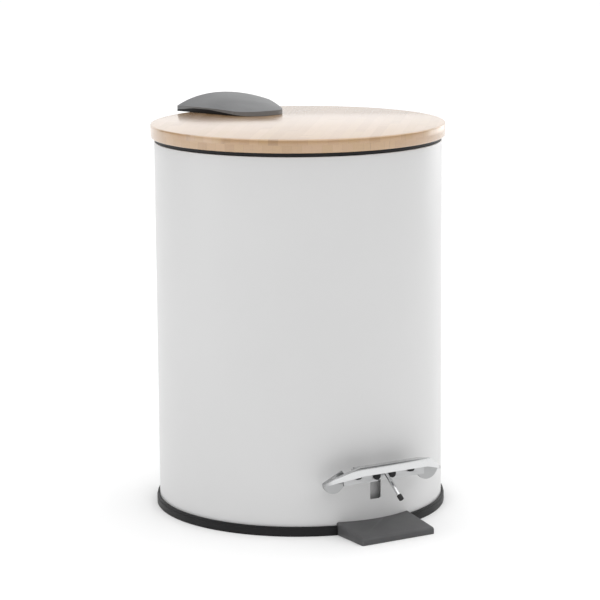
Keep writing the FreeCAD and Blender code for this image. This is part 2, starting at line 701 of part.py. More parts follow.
def build_hinge():
    """The riveted bracket on the drum, the pin, and the arm that carries the lid."""
    mount = turned("BracketSkin", [
        (bin.drum_radius + 0.05, bracket_low),
        (bin.drum_radius + 2.4, bracket_low),
        (bin.drum_radius + 2.4, bin.drum_top - 2.0),
        (bin.drum_radius + 0.05, bin.drum_top - 2.0),
    ])
    span = box("BracketSpan", (-bin.lid_notch_half, bin.drum_radius / 2, bracket_low),
               (bin.lid_notch_half, bin.drum_radius * 1.1, bin.drum_top))
    pieces = [common("BracketPlate", mount, span)]
    ear_start = bin.knuckle_half + 0.6
    for side in (-1, 1):
        start = ear_start if side > 0 else -ear_start - bin.ear_thick
        foot = root(bin.drum_radius * bin.drum_radius - ear_start * ear_start) + 0.4
        corners = [
            (foot, bracket_low + 22.0),
            (foot + 2.0, bracket_low + 22.0),
            (hinge_place + bin.ear_radius, bin.hinge_height),
            (hinge_place, bin.hinge_height + 0.5),
            (hinge_place - bin.ear_radius, bin.hinge_height),
            (bin.drum_radius + 0.4, bin.drum_top - 1.0),
        ]
        pieces.append(plate("BracketEar", "YZ_Plane", corners, start, bin.ear_thick))
        pieces.append(cylinder("BracketEarEnd", bin.ear_radius, bin.ear_thick,
                               (start, hinge_place, bin.hinge_height), ALONG_X))
    hinge_half = ear_start + bin.ear_thick
    pin_room = cross_bar("HingePinRoom", bin.hinge_pin_radius, hinge_half + 5.0, hinge_place,
                         bin.hinge_height)
    bracket = cut("BracketCut", fuse("BracketFused", *pieces), pin_room,
                  *rivet_bars("BracketHole")[:4])
    finish(bracket, "hinge_bracket")

    rivets = []
    for angle in (-10.5, 10.5):
        for z in bracket_rivet_heights:
            outside = bin.drum_radius + 2.4
            shank = radial_bar("BracketRivet", 1.6, drum_inside - 1.2, outside + 0.8, angle, z)
            outer = radial_bar("BracketRivetOuter", 3.0, outside + 0.02, outside + 1.3, angle, z)
            inner = radial_bar("BracketRivetInner", 2.8, drum_inside - 1.4, drum_inside - 0.1, angle, z)
            rivets.append(fuse("BracketRivetWhole", shank, outer, inner))
    finish(group("BracketRivets", rivets), "bracket_rivets")

    pin = cross_bar("HingePinShank", bin.hinge_pin_radius, hinge_half + 1.4, hinge_place, bin.hinge_height)
    heads = []
    for start in (hinge_half, -hinge_half - 1.4):
        heads.append(cylinder("HingePinHead", bin.hinge_pin_radius + 1.0, 1.4,
                              (start, hinge_place, bin.hinge_height), ALONG_X))
    finish(fuse("HingePin", pin, *heads), "hinge_pin")

    top = box("ArmTop", (-15.0, arm_front, lid_top), (15.0, notch_place + 1.0, lid_top + 2.0))
    leg = box("ArmLeg", (-bin.knuckle_half, notch_place + 0.3, bin.hinge_height - 3.0),
              (bin.knuckle_half, notch_place + 3.5, lid_top + 2.0))
    knuckle = cross_bar("ArmKnuckle", bin.knuckle_radius, bin.knuckle_half, hinge_place, bin.hinge_height)
    web = box("ArmWeb", (-bin.knuckle_half, notch_place + 0.3, bin.hinge_height - 2.5),
              (bin.knuckle_half, hinge_place, bin.hinge_height + bin.knuckle_radius))
    bore = cross_bar("ArmBore", bin.hinge_pin_radius + bin.running_gap, bin.knuckle_half + 1.0,
                     hinge_place, bin.hinge_height)
    screws = arm_screws("ArmScrew")
    arm = cut("ArmCut", fuse("ArmFused", top, leg, knuckle, web), bore,
              *[shank for shank, head in arm_screws("ArmScrewHole")])
    finish(arm, "hinge_arm")
    finish(group("ArmScrews", [fuse("ArmScrewWhole", *pair) for pair in screws]), "hinge_arm_screws")


def tongue_solid(name, inset, drop):
    """The hinge cover's outer form, or its hollow: a tapered tongue under a sloping crown."""
    low = lid_top + 0.1 - drop
    height = 40.0
    nose = cylinder(f"{name}Nose", bin.cover_nose - inset, height, (0, bin.cover_nose_place, low))
    rear_half = bin.cover_rear_half - inset
    shoulder = bin.cover_nose * 0.93 - inset
    back = bin.cover_nose_place - bin.cover_nose * 0.37
    flank = plate(f"{name}Flank", "XY_Plane", [
        (-shoulder, back), (shoulder, back),
        (rear_half, bin.cover_reach + 5.0), (-rear_half, bin.cover_reach + 5.0),
    ], low, height)
    plan = fuse(f"{name}Plan", nose, flank)
    rim = cylinder(f"{name}Rim", bin.cover_reach - inset, height + 2.0, (0, 0, low - 1.0))
    plan = common(f"{name}Trimmed", plan, rim)
    nose_front = bin.cover_nose_place - bin.cover_nose
    run = bin.cover_reach - nose_front
    slope = math.degrees(math.atan2(bin.cover_rear_top.value - bin.cover_front_top.value, run.value))
    crown = doc.addObject("Part::Cylinder", f"{name}Crown")
    bind(crown, "Radius", bin.cover_crown - inset)
    bind(crown, "Height", run + 80.0)
    crown.Placement.Rotation = Rotation(Vector(1, 0, 0), slope - 90)
    crown.setExpression("Placement.Rotation.Angle",
                        f"90 deg - atan(({bin.cover_rear_top.formula} - {bin.cover_front_top.formula})"
                        f" / {run.formula})")
    crown.setExpression("Placement.Rotation.Axis.x", "-1")
    rise = (bin.cover_rear_top - bin.cover_front_top) / run
    place(crown, 0, nose_front - 40.0, bin.cover_front_top - bin.cover_crown - 40.0 * rise)
    return common(f"{name}Solid", plan, crown)


def build_cover():
    """The moulded cover over the hinge."""
    outer = tongue_solid("Cover", as_size(0.0), as_size(0.0))
    hollow = tongue_solid("CoverRoom", bin.cover_wall, as_size(5.0))
    finish(cut("CoverCut", outer, hollow), "hinge_cover")


def build_linkage():
    """The clevis under the lid, its pin, the lift rod with its collar, and the rod's guide."""
    base = box("ClevisBase", (-10.5, clevis_front, clevis_under),
               (10.5, notch_place - 0.5, liner_bottom))
    pieces = [base]
    ear_radius = 3.1
    for side in (-1, 1):
        start = 2.5 if side > 0 else -4.5
        pieces.append(box("ClevisEar", (start, bin.rod_place - ear_radius, crank_height),
                          (start + 2.0, bin.rod_place + ear_radius, liner_bottom - 0.4)))
        pieces.append(cylinder("ClevisEarEnd", ear_radius, 2.0, (start, bin.rod_place, crank_height),
                               ALONG_X))
    pin_room = cross_bar("CrankPinRoom", bin.crank_pin_radius, 8.0, bin.rod_place, crank_height)
    eye_radius = ear_radius - 0.1
    eye_room = cross_bar("EyeRoom", eye_radius + 0.4, 2.5, bin.rod_place, crank_height)
    screws = []
    rooms = [eye_room]
    for side in (-1, 1):
        shank = clevis_screw("ClevisScrewShank", side)
        rooms.append(clevis_screw("ClevisScrewRoom", side))
        head = cylinder("ClevisScrewHead", 2.4, 1.1, (side * 8.0, clevis_front + 3.6, clevis_under - 1.1))
        screws.append(fuse("ClevisScrew", shank, head))
    finish(cut("ClevisCut", fuse("Clevis", *pieces), pin_room, *rooms), "crank_clevis")
    finish(group("ClevisScrews", screws), "clevis_screws")
    shank = cross_bar("CrankPinShank", bin.crank_pin_radius, 5.6, bin.rod_place, crank_height)
    heads = []
    for start in (4.5, -5.6):
        heads.append(cylinder("CrankPinHead", bin.crank_pin_radius + 0.8, 1.1,
                              (start, bin.rod_place, crank_height), ALONG_X))
    finish(fuse("CrankPin", shank, *heads), "crank_pin")

    rod_foot = bin.rib_height - 0.8
    shaft = cylinder("RodShaft", bin.rod_radius, crank_height - rod_foot - 2.0,
                     (0, bin.rod_place, rod_foot))
    eye = cross_bar("RodEye", eye_radius, 2.2, bin.rod_place, crank_height)
    eye_bore = cross_bar("RodEyeBore", bin.crank_pin_radius + bin.running_gap, 4.0, bin.rod_place,
                         crank_height)
    finish(cut("RodCut", fuse("Rod", shaft, eye), eye_bore), "lift_rod")
    lever_top = bin.pivot_height + bin.lever_thick
    collar = cylinder("RodCollarRing", 4.2, 2.0, (0, bin.rod_place, lever_top + 1.3))
    collar_bore = cylinder("RodCollarBore", bin.rod_radius, 4.0, (0, bin.rod_place, lever_top))
    finish(cut("RodCollar", collar, collar_bore), "rod_collar")

    block = box("GuideBlock", (-9.0, bin.rod_place - rod_sway - 4.4, bin.guide_height - 4.0),
                (9.0, bin.drum_radius + 1.0, bin.guide_height + 4.0))
    room = cylinder("GuideRoom", drum_inside - 0.05, 12.0, (0, 0, bin.guide_height - 6.0))
    guide = common("GuideTrimmed", block, room)
    slot = box("GuideSlot", (-bin.rod_radius - 0.4, bin.rod_place - rod_sway - 2.5,
                             bin.guide_height - 6.0),
               (bin.rod_radius + 0.4, bin.rod_place + 2.5, bin.guide_height + 6.0))
    finish(cut("GuideCut", guide, slot, *rivet_bars("GuideHole")[4:]), "rod_guide")
    rivets = []
    for angle in (-3.0, 3.0):
        outside = bin.drum_radius
        shank = radial_bar("GuideRivet", 1.2, drum_inside - 3.9, outside + 0.6, angle, bin.guide_height)
        head = radial_bar("GuideRivetHead", 2.4, outside + 0.05, outside + 1.0, angle, bin.guide_height)
        rivets.append(fuse("GuideRivetWhole", shank, head))
    finish(group("GuideRivets", rivets), "guide_rivets")


def build_pivot():
    """The stand on the base's floor, the pivot pin and its bushes."""
    ear_inside = bin.lever_width / 2 + 3.0
    ear_outside = ear_inside + 2.0
    top = bin.base_floor + 2.0
    pieces = [box("StandBase", (-ear_outside, -18.0, bin.base_floor), (ear_outside, 18.0, top))]
    for start in (ear_inside, -ear_outside):
        pieces.append(box("StandEar", (start, -6.0, bin.base_floor), (start + 2.0, 6.0, bin.pivot_height)))
        pieces.append(cylinder("StandEarEnd", 6.0, 2.0, (start, 0, bin.pivot_height), ALONG_X))
    rooms = [cross_bar("PivotRoom", bin.pivot_pin_radius, ear_outside + 3.0, 0, bin.pivot_height)]
    screws = []
    for side in (-1, 1):
        rooms.append(cylinder("StandScrewRoom", 1.25, 4.0, (0, side * 14.0, bin.base_floor - 1.0)))
        head = cylinder("StandScrewHead", 2.6, 1.3, (0, side * 14.0, top))
        shank = cylinder("StandScrewShank", 1.25, top - 0.3, (0, side * 14.0, 0.6))
        screws.append(fuse("StandScrew", head, shank))
    finish(cut("StandCut", fuse("Stand", *pieces), *rooms), "pivot_stand")
    finish(group("StandScrews", screws), "stand_screws")

    shank = cross_bar("PivotShank", bin.pivot_pin_radius, ear_outside + 1.5, 0, bin.pivot_height)
    heads = []
    for start in (ear_outside, -ear_outside - 1.5):
        heads.append(cylinder("PivotHead", bin.pivot_pin_radius + 1.2, 1.5, (start, 0, bin.pivot_height),
                              ALONG_X))
    finish(fuse("PivotPin", shank, *heads), "pivot_pin")

    bushes = []
    for start in (bin.lever_width / 2, -ear_inside + 0.15):
        ring = cylinder("BushRing", 4.0, 2.85, (start, 0, bin.pivot_height), ALONG_X)
        bore = cylinder("BushBore", bin.pivot_pin_radius + bin.running_gap, 8.0,
                        (start - 2.0, 0, bin.pivot_height), ALONG_X)
        bushes.append(cut("Bush", ring, bore))
    finish(group("Bushes", bushes), "pivot_bushes")


def build_lever():
    """The steel lever: rear fork, pivot knuckle, raised front leg, neck and tab."""
    low = bin.pivot_height
    leg_inside = leg_outside - bin.lever_thick
    arm = across("LeverArm", [
        (lever_end, low),
        (-8.0, low),
        (-leg_outside, bin.lever_rise),
        (-leg_outside, neck_top),
        (-leg_inside, neck_top),
        (-leg_inside, bin.lever_rise + bin.lever_thick),
        (-8.0, low + bin.lever_thick),
        (lever_end, low + bin.lever_thick),
    ], bin.lever_width / 2)
    fork = box("ForkRoom", (-bin.rod_radius - 0.4, bin.rod_place - rod_sway - 3.2, low - 1.0),
               (bin.rod_radius + 0.4, lever_end + 1.0, low + bin.lever_thick + 1.0))
    arm = cut("LeverForked", arm, fork)
    knuckle = cross_bar("LeverKnuckle", 4.2, bin.lever_width / 2, 0, bin.pivot_height)
    neck = box("LeverNeck", (-bin.neck_width / 2, -bracket_back, bin.neck_height),
               (bin.neck_width / 2, -leg_inside, neck_top))
    tab = box("LeverTab", (-8.5, -bracket_back, bin.neck_height),
              (8.5, -bracket_back + bin.lever_thick, bin.neck_height + 9.5))
    bore = cross_bar("LeverBore", bin.pivot_pin_radius + bin.running_gap, bin.lever_width, 0,
                     bin.pivot_height)
    lever = cut("LeverBored", fuse("Lever", arm, knuckle, neck, tab), bore, *bracket_pin_bars("TabHole"))
    finish(lever, "pedal_lever")


pin_spread = 6.1
pin_rise = 2.7


def bracket_pin_bars(name):
    bars = []
    for side in (-1, 1):
        bars.append(cylinder(name, 1.4, bin.lever_thick + bin.bracket_sheet + 1.6,
                             (side * pin_spread, -bracket_front - 0.8, bin.neck_height + pin_rise), ALONG_Y))
    return bars


def slotted_hole(name, x, z, half, radius):
    """A level slot with round ends through the pedal bracket."""
    start = -bracket_front - 1.0
    depth = bin.bracket_sheet + 2.0
    ends = [cylinder(f"{name}End", radius, depth, (x + side * half, start, z), ALONG_Y)
            for side in (-1, 1)]
    middle = box(f"{name}Middle", (x - half, start, z - radius), (x + half, start + depth, z + radius))
    return fuse(name, *ends, middle)


def sloped(thing, x, y, z):
    """Places an object in the tread's frame, which falls towards the drum from the front edge."""
    back = as_size(y) + bin.tread_front
    up = as_size(z) - bin.tread_top
    place(thing, x, back * cosine(bin.tread_slope) + up * sine(bin.tread_slope) - bin.tread_front,
          up * cosine(bin.tread_slope) - back * sine(bin.tread_slope) + bin.tread_top)
    thing.Placement.Rotation = Rotation(Vector(-1, 0, 0), bin.tread_slope.value)
    thing.setExpression("Placement.Rotation.Angle", f"{bin.tread_slope.formula} * 1 deg")
    return thing


def build_bracket():
    """The strip behind the tread with its fixings and the stop peg."""
    upright = box("BracketUpright", (-bin.bracket_half, -bracket_front, bin.bracket_low),
                  (bin.bracket_half, -bracket_back, bin.bracket_low + 8.0))
    shelf_half = bin.tread_half - 2.0
    riser = box("BracketRiser", (-shelf_half, -bracket_front, bin.bracket_low),
                (shelf_half, -bracket_back,
                 tread_under - 0.4 - (bin.tread_front - bracket_back) * tread_fall))
    shelf_corner = (-shelf_half, -bin.tread_front + 5.0, tread_under - bin.bracket_sheet)
    shelf = box("BracketShelf", shelf_corner, (shelf_half, -bracket_back + 0.3, tread_under))
    sloped(shelf, *shelf_corner)
    end = Rotation(Vector(1, 0, 0), 90 + bin.peg_slope.value)
    peg_start = (0, -bracket_front + 0.5, bin.neck_height + 5.6)
    peg = cylinder("Peg", bin.peg_radius, bin.peg_length, peg_start, end)
    peg.setExpression("Placement.Rotation.Angle", f"90 deg + {bin.peg_slope.formula} * 1 deg")
    tip_back = bin.peg_length - 2.6
    tip_start = (0, peg_start[1] - tip_back * cosine(bin.peg_slope),
                 peg_start[2] - tip_back * sine(bin.peg_slope))
    tip = cylinder("PegCap", bin.peg_radius + 0.45, 3.4, tip_start, end)
    tip.setExpression("Placement.Rotation.Angle", f"90 deg + {bin.peg_slope.formula} * 1 deg")
    holes = [slotted_hole("BracketSlot", side * as_size(21.0), bin.bracket_low + 5.0, 0.9, 1.7)
             for side in (-1, 1)]
    notch = box("BracketMouth", (-5.0, -bracket_front - 1.0, bin.bracket_low - 1.0),
                (5.0, -bracket_back + 1.0, bin.neck_height))
    frame = fuse("BracketBent", upright, riser, shelf)
    frame = cut("BracketPierced", frame, peg, notch, *holes, *bracket_pin_bars("PlateHole"),
                *tread_rivet_bars("ShelfHole"))
    finish(frame, "pedal_bracket")
    finish(peg, "stop_peg")
    finish(cut("PegTip", tip, peg), "peg_tip")
    pins = []
    for side, shank in zip((-1, 1), bracket_pin_bars("BracketPin")):
        height = bin.neck_height + pin_rise
        front = cylinder("BracketPinFront", 2.6, 0.9,
                         (side * pin_spread, -bracket_front - 0.9, height), ALONG_Y)
        back = cylinder("BracketPinBack", 2.3, 0.9,
                        (side * pin_spread, -bracket_back + bin.lever_thick, height), ALONG_Y)
        pins.append(fuse("BracketPinWhole", shank, front, back))
    finish(group("BracketPins", pins), "bracket_pins")
    plugs = [slotted_hole("BracketPlug", side * as_size(21.0), bin.bracket_low + 5.0, 0.9, 1.7)
             for side in (-1, 1)]
    finish(group("BracketPlugs", plugs), "bracket_plugs")


def tread_rivet_bars(name, radius=1.4, length=bin.bracket_sheet + bin.tread_sheet + 0.6):
    """Two bars square to the tread's top plate, from below the bracket's shelf."""
    foot = (-bin.tread_front + 8.5, tread_under - bin.bracket_sheet - 0.6)
    return [sloped(cylinder(name, radius, length, (0, 0, 0)), side * 15.0, *foot) for side in (-1, 1)]


def build_tread():
    """The chromed tread: top plate, front lip, swept wings and round ears, all of one sheet."""
    front = bin.tread_front
    tip = bin.tip_place
    wing_sheet = bin.tread_sheet * 1.3
    inner_half = bin.tread_half - 0.4
    wing_back = -tip + bin.ear_setback + wing_sheet
    ear_root = bin.tip_half - 6.5
    root_back = -tip + 4.8 - 6.5 * (front - tip) / (bin.tip_half - bin.tread_half)
    curtain = plate("TreadCurtain", "XY_Plane", [
        (-bin.tip_half, -tip), (-bin.tread_half, -front), (bin.tread_half, -front),
        (bin.tip_half, -tip), (bin.tip_half, -tip + wing_sheet), (inner_half, -front + bin.tread_sheet),
        (-inner_half, -front + bin.tread_sheet), (-bin.tip_half, -tip + wing_sheet),
    ], bin.tip_top - 12.0, bin.tread_top - bin.tip_top + 14.0)
    deck = plate("TreadDeck", "XY_Plane", [
        (-bin.tip_half, -tip), (-bin.tread_half, -front), (bin.tread_half, -front),
        (bin.tip_half, -tip), (bin.tip_half - 1.0, wing_back), (ear_root, wing_back),
        (ear_root, root_back), (bin.tread_half, -front + 4.8),
        (inner_half - 1.5, -front + bin.tread_depth), (-inner_half + 1.5, -front + bin.tread_depth),
        (-bin.tread_half, -front + 4.8), (-ear_root, root_back),
        (-ear_root, wing_back), (-bin.tip_half + 1.0, wing_back),
    ], bin.tip_top - 12.0, bin.tread_top - bin.tip_top + 14.0)

    tip_line = bin.tip_top + (front - tip) * tread_fall
    top_line = [(-bin.tip_half - 0.5, tip_line), (-bin.tread_half, bin.tread_top),
                (bin.tread_half, bin.tread_top), (bin.tip_half + 0.5, tip_line)]

    def front_view(name, lower):
        return sloped(plate(name, "XZ_Plane", top_line + lower, bin.drum_radius - 10.0, 50.0), 0, 0, 0)

    lip = front_view("TreadLip", [
        (bin.tip_half + 0.5, tip_line - 1.6), (bin.tread_half - 2.0, bin.tread_top - bin.tread_lip),
        (-bin.tread_half + 2.0, bin.tread_top - bin.tread_lip), (-bin.tip_half - 0.5, tip_line - 1.6),
    ])
    below = front_view("TreadBelow", [
        (bin.tip_half + 0.5, tip_line - 16.0), (-bin.tip_half - 0.5, tip_line - 16.0),
    ])
    skin = front_view("TreadSkin", [
        (bin.tip_half + 0.5, tip_line - wing_sheet), (inner_half, tread_under),
        (-inner_half, tread_under), (-bin.tip_half - 0.5, tip_line - wing_sheet),
    ])
    discs = []
    for side in (-1, 1):
        discs.append(cylinder("TreadEarDisc", bin.ear_disc_radius, wing_sheet,
                              (side * bin.ear_disc_place, -tip + bin.ear_setback, bin.tip_top + 0.4),
                              ALONG_Y))
    ears = common("TreadEars", fuse("TreadDiscs", *discs), below)
    flange = common("TreadFlange", curtain, lip)
    top = common("TreadTop", deck, skin)
    finish(cut("TreadDrilled", fuse("Tread", flange, top, ears), *tread_rivet_bars("TreadHole")),
           "pedal_tread")
    shanks = tread_rivet_bars("TreadRivetShank")
    heads = tread_rivet_bars("TreadRivetHead", 2.4, 0.6)
    finish(group("TreadRivets", [fuse("TreadRivetWhole", *pair) for pair in zip(shanks, heads)]),
           "tread_rivets")


def check_and_write():
    """Stops at anything that failed, then writes each sub-part to its own STEP file."""
    doc.recompute()
    for thing in doc.Objects:
        faults = [state for state in thing.State if state in ("Invalid", "Error")]
        if faults:
            raise ValueError(f"{thing.Name} ({thing.Label}) is {faults}")
    os.makedirs("parts", exist_ok=True)
    for thing in nodes:
        if thing.Shape.isNull() or not thing.Shape.isValid() or not thing.Shape.Solids:
            raise ValueError(f"{thing.Label} has no valid solid")
    for thing in nodes:
        thing.Shape.exportStep(f"parts/{thing.Label}.step")
        print(f"{thing.Label}: {len(thing.Shape.Solids)} solids, {thing.Shape.Volume:.0f} mm3")


build_drum()
build_base()
build_foot()
build_collar()
build_bucket()
build_lid()
build_hinge()
build_cover()
build_linkage()
build_pivot()
build_lever()
build_bracket()
build_tread()
check_and_write()
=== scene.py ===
import math

import bmesh
import bpy
from bpy.props import FloatProperty, FloatVectorProperty, IntProperty, PointerProperty
from mathutils import Matrix, Vector


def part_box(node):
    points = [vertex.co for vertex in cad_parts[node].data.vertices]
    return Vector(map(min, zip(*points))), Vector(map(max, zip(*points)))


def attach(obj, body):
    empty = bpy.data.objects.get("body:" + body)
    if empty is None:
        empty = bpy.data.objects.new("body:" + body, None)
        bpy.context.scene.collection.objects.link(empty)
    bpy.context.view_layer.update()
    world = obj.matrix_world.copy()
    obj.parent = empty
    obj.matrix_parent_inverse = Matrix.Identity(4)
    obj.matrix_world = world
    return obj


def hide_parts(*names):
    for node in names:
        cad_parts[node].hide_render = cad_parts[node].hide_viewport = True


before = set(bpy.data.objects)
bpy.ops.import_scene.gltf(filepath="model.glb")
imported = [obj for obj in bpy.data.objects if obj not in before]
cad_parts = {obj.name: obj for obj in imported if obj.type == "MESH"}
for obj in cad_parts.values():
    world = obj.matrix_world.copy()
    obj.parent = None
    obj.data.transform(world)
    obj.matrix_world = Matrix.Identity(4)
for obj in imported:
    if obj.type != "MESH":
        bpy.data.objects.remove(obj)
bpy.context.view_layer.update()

bl_info = {
    "name": "Pedal bin",
    "version": (1, 0, 0),
    "blender": (4, 5, 0),
    "location": "3D View > Sidebar > Pedal bin",
    "description": "Builds the visible pieces of a round pedal bin around its design frame",
    "category": "Object",
}

MM = 0.001
WELD = 0.002 * MM
SAME_PLACE = 1e-7


# ---------------------------------------------------------------- settings

class BinSizes(bpy.types.PropertyGroup):
    """The bin's own sizes that a maker may want to change."""

    turned_steps: IntProperty(
        name="Turned steps", description="Steps round a large turned piece", default=192, min=48)
    hem_round: FloatProperty(
        name="Hem rounding", description="Rounding of the drum's folded hem",
        default=0.4 * MM, unit="LENGTH")
    lid_round: FloatProperty(
        name="Lid rounding", description="Rounding of the bamboo lid's edges",
        default=1.1 * MM, unit="LENGTH")
    moulded_round: FloatProperty(
        name="Moulded rounding", description="Edge rounding of small moulded pieces",
        default=0.5 * MM, unit="LENGTH")
    pressed_round: FloatProperty(
        name="Pressed rounding", description="Edge rounding of pressed sheet pieces",
        default=0.3 * MM, unit="LENGTH")
    cover_round: FloatProperty(
        name="Cover rounding", description="Edge rounding of the hinge cover",
        default=1.9 * MM, unit="LENGTH")
    strip_width: FloatProperty(
        name="Strip width", description="Width of one bamboo strip",
        default=6.5 * MM, unit="LENGTH")
    strip_length: FloatProperty(
        name="Strip length", description="Length between two joints of a bamboo strip",
        default=170 * MM, unit="LENGTH")
    grain_turn: FloatProperty(
        name="Grain direction", description="Direction of the bamboo grain about the drum's axis",
        default=math.radians(-38), subtype="ANGLE")


class BinColours(bpy.types.PropertyGroup):
    """The colours of the bin's finishes."""

    coat: FloatVectorProperty(
        name="Powder coat", description="Colour of the drum's coat", subtype="COLOR",
        default=(0.68, 0.68, 0.68), size=3, min=0, max=1)
    base: FloatVectorProperty(
        name="Base plastic", description="Colour of the base and the inner mouldings",
        subtype="COLOR", default=(0.004, 0.004, 0.0045), size=3, min=0, max=1)
    foot: FloatVectorProperty(
        name="Foot plastic", description="Colour of the stabiliser foot", subtype="COLOR",
        default=(0.085, 0.085, 0.087), size=3, min=0, max=1)
    cover: FloatVectorProperty(
        name="Cover plastic", description="Colour of the hinge cover", subtype="COLOR",
        default=(0.16, 0.162, 0.165), size=3, min=0, max=1)
    bucket: FloatVectorProperty(
        name="Bucket plastic", description="Colour of the inner bucket", subtype="COLOR",
        default=(0.035, 0.036, 0.038), size=3, min=0, max=1)
    bamboo_pale: FloatVectorProperty(
        name="Pale bamboo", description="Palest bamboo strip", subtype="COLOR",
        default=(0.50, 0.31, 0.135), size=3, min=0, max=1)
    bamboo_deep: FloatVectorProperty(
        name="Deep bamboo", description="Darkest bamboo strip", subtype="COLOR",
        default=(0.38, 0.21, 0.085), size=3, min=0, max=1)
    chrome: FloatVectorProperty(
        name="Chrome", description="Tint of the chromed tread", subtype="COLOR",
        default=(0.68, 0.685, 0.69), size=3, min=0, max=1)


class StageSettings(bpy.types.PropertyGroup):
    """Where the camera stands and how bright the studio is."""

    camera_place: FloatVectorProperty(
        name="Camera place", description="Where the camera stands", subtype="TRANSLATION",
        default=(-0.8841, -1.4949, 0.4700), size=3)
    camera_turn: FloatProperty(
        name="Camera turn", description="Camera's heading from straight ahead", subtype="ANGLE",
        default=math.radians(-30.62))
    camera_tilt: FloatProperty(
        name="Camera tilt", description="How far the camera looks down", subtype="ANGLE",
        default=math.radians(10.65))
    camera_roll: FloatProperty(
        name="Camera roll", description="Roll about the line of sight", subtype="ANGLE",
        default=math.radians(-0.41))
    lens: FloatProperty(
        name="Lens", description="Focal length on a 36 mm sensor", default=150.6, unit="CAMERA")
    sky: FloatProperty(name="Sky", description="Strength of the even light", default=0.22, min=0)
    top_light: FloatProperty(
        name="Top light", description="Strength of the top light", default=3.0, min=0)
    back_light: FloatProperty(
        name="Back light", description="Power of the wide soft box behind the bin",
        default=31.0, min=0, unit="POWER")
    side_light: FloatProperty(
        name="Side light", description="Power of the left soft box; the right one has 1.6 times it",
        default=3.0, min=0, unit="POWER")


def sizes():
    return bpy.context.scene.bin_sizes


def colours():
    return bpy.context.scene.bin_colours


# ---------------------------------------------------------------- modelling by hand

def clear_selection():
    if bpy.context.mode != "OBJECT":
        bpy.ops.object.mode_set(mode="OBJECT")
    bpy.ops.object.select_all(action="DESELECT")


def make_active(piece):
    clear_selection()
    piece.select_set(True)
    bpy.context.view_layer.objects.active = piece


def pick_vertices(piece, test):
    """In edit mode, selects only the vertices that pass a test of their place."""
    bpy.ops.mesh.select_all(action="DESELECT")
    mesh = bmesh.from_edit_mesh(piece.data)
    for vertex in mesh.verts:
        vertex.select = test(vertex.co)
    mesh.select_flush_mode()
    bmesh.update_edit_mesh(piece.data)


def pick_edges(piece, test):
    """In edit mode, selects only the edges whose two ends pass a test."""
    bpy.ops.mesh.select_all(action="DESELECT")
    mesh = bmesh.from_edit_mesh(piece.data)
    for edge in mesh.edges:
        edge.select = test(edge.verts[0].co, edge.verts[1].co)
    bmesh.update_edit_mesh(piece.data)


def apply_modifier(piece, kind, **settings):
    make_active(piece)
    bpy.ops.object.modifier_add(type=kind)
    modifier = piece.modifiers[-1]
    for name, value in settings.items():
        setattr(modifier, name, value)
    bpy.ops.object.modifier_apply(modifier=modifier.name)


def clean_solid(piece):
    """Closes seams and turns every face outwards."""
    make_active(piece)
    bpy.ops.object.mode_set(mode="EDIT")
    bpy.ops.mesh.select_all(action="SELECT")
    bpy.ops.mesh.remove_doubles(threshold=WELD)
    bpy.ops.mesh.normals_make_consistent(inside=False)
    bpy.ops.object.mode_set(mode="OBJECT")


def smooth(piece, degrees=32):
    make_active(piece)
    bpy.ops.object.shade_smooth_by_angle(angle=math.radians(degrees))


def lathe(name, corners, steps=None, angle=math.tau, start=0.0, round_steps=4):
    """A body of revolution about Z.

    A corner is a radius, a height and, if it is round, its rounding.
    """
    closed = corners[0][0] > 0 or corners[-1][0] > 0
    clear_selection()
    radius, height = corners[0][:2]
    bpy.ops.mesh.primitive_plane_add(size=1 * MM, location=(0, 0, 0))
    piece = bpy.context.object
    piece.name = name
    bpy.ops.object.mode_set(mode="EDIT")
    pick_vertices(piece, lambda place: not (place.x > 0 and place.y > 0))
    bpy.ops.mesh.delete(type="VERT")
    bpy.ops.mesh.select_all(action="SELECT")
    half = 0.5 * MM
    bpy.ops.transform.translate(value=(radius - half, -half, height))
    for before, after in zip(corners, corners[1:]):
        move = (after[0] - before[0], 0, after[1] - before[1])
        bpy.ops.mesh.extrude_region_move(TRANSFORM_OT_translate={"value": move})
    if closed:
        ends = [Vector((corners[i][0], 0, corners[i][1])) for i in (0, -1)]
        pick_vertices(piece, lambda place: min((place - end).length for end in ends) < SAME_PLACE)
        bpy.ops.mesh.edge_face_add()
    for corner in corners:
        if len(corner) > 2:
            spot = Vector((corner[0], 0, corner[1]))
            pick_vertices(piece, lambda place: (place - spot).length < SAME_PLACE)
            bpy.ops.mesh.bevel(offset=corner[2], segments=round_steps, affect="VERTICES")
    bpy.ops.mesh.select_all(action="SELECT")
    if start:
        bpy.ops.transform.rotate(value=-start, orient_axis="Z", center_override=(0, 0, 0))
    bpy.ops.mesh.spin(steps=steps or sizes().turned_steps, angle=angle,
                      center=(0, 0, 0), axis=(0, 0, 1))
    bpy.ops.object.mode_set(mode="OBJECT")
    if angle < math.tau:
        make_active(piece)
        bpy.ops.object.mode_set(mode="EDIT")
        bpy.ops.mesh.select_all(action="SELECT")
        bpy.ops.mesh.select_non_manifold()
        bpy.ops.mesh.edge_face_add()
        bpy.ops.object.mode_set(mode="OBJECT")
    clean_solid(piece)
    smooth(piece)
    return piece


def block(low, high, rounding=0.0, lengthwise=False):
    """A block between two corners, with all its edges rounded or only those along Y."""
    low, high = Vector(low), Vector(high)
    clear_selection()
    bpy.ops.mesh.primitive_cube_add(size=1, location=(low + high) / 2, scale=high - low)
    piece = bpy.context.object
    bpy.ops.object.transform_apply(location=True, rotation=True, scale=True)
    if rounding:
        bpy.ops.object.mode_set(mode="EDIT")
        bpy.ops.mesh.select_all(action="SELECT")
        if lengthwise:
            pick_edges(piece, lambda a, b: abs(a.y - b.y) > 1e-6)
        bpy.ops.mesh.bevel(offset=rounding, segments=5, affect="EDGES")
        bpy.ops.object.mode_set(mode="OBJECT")
    return piece


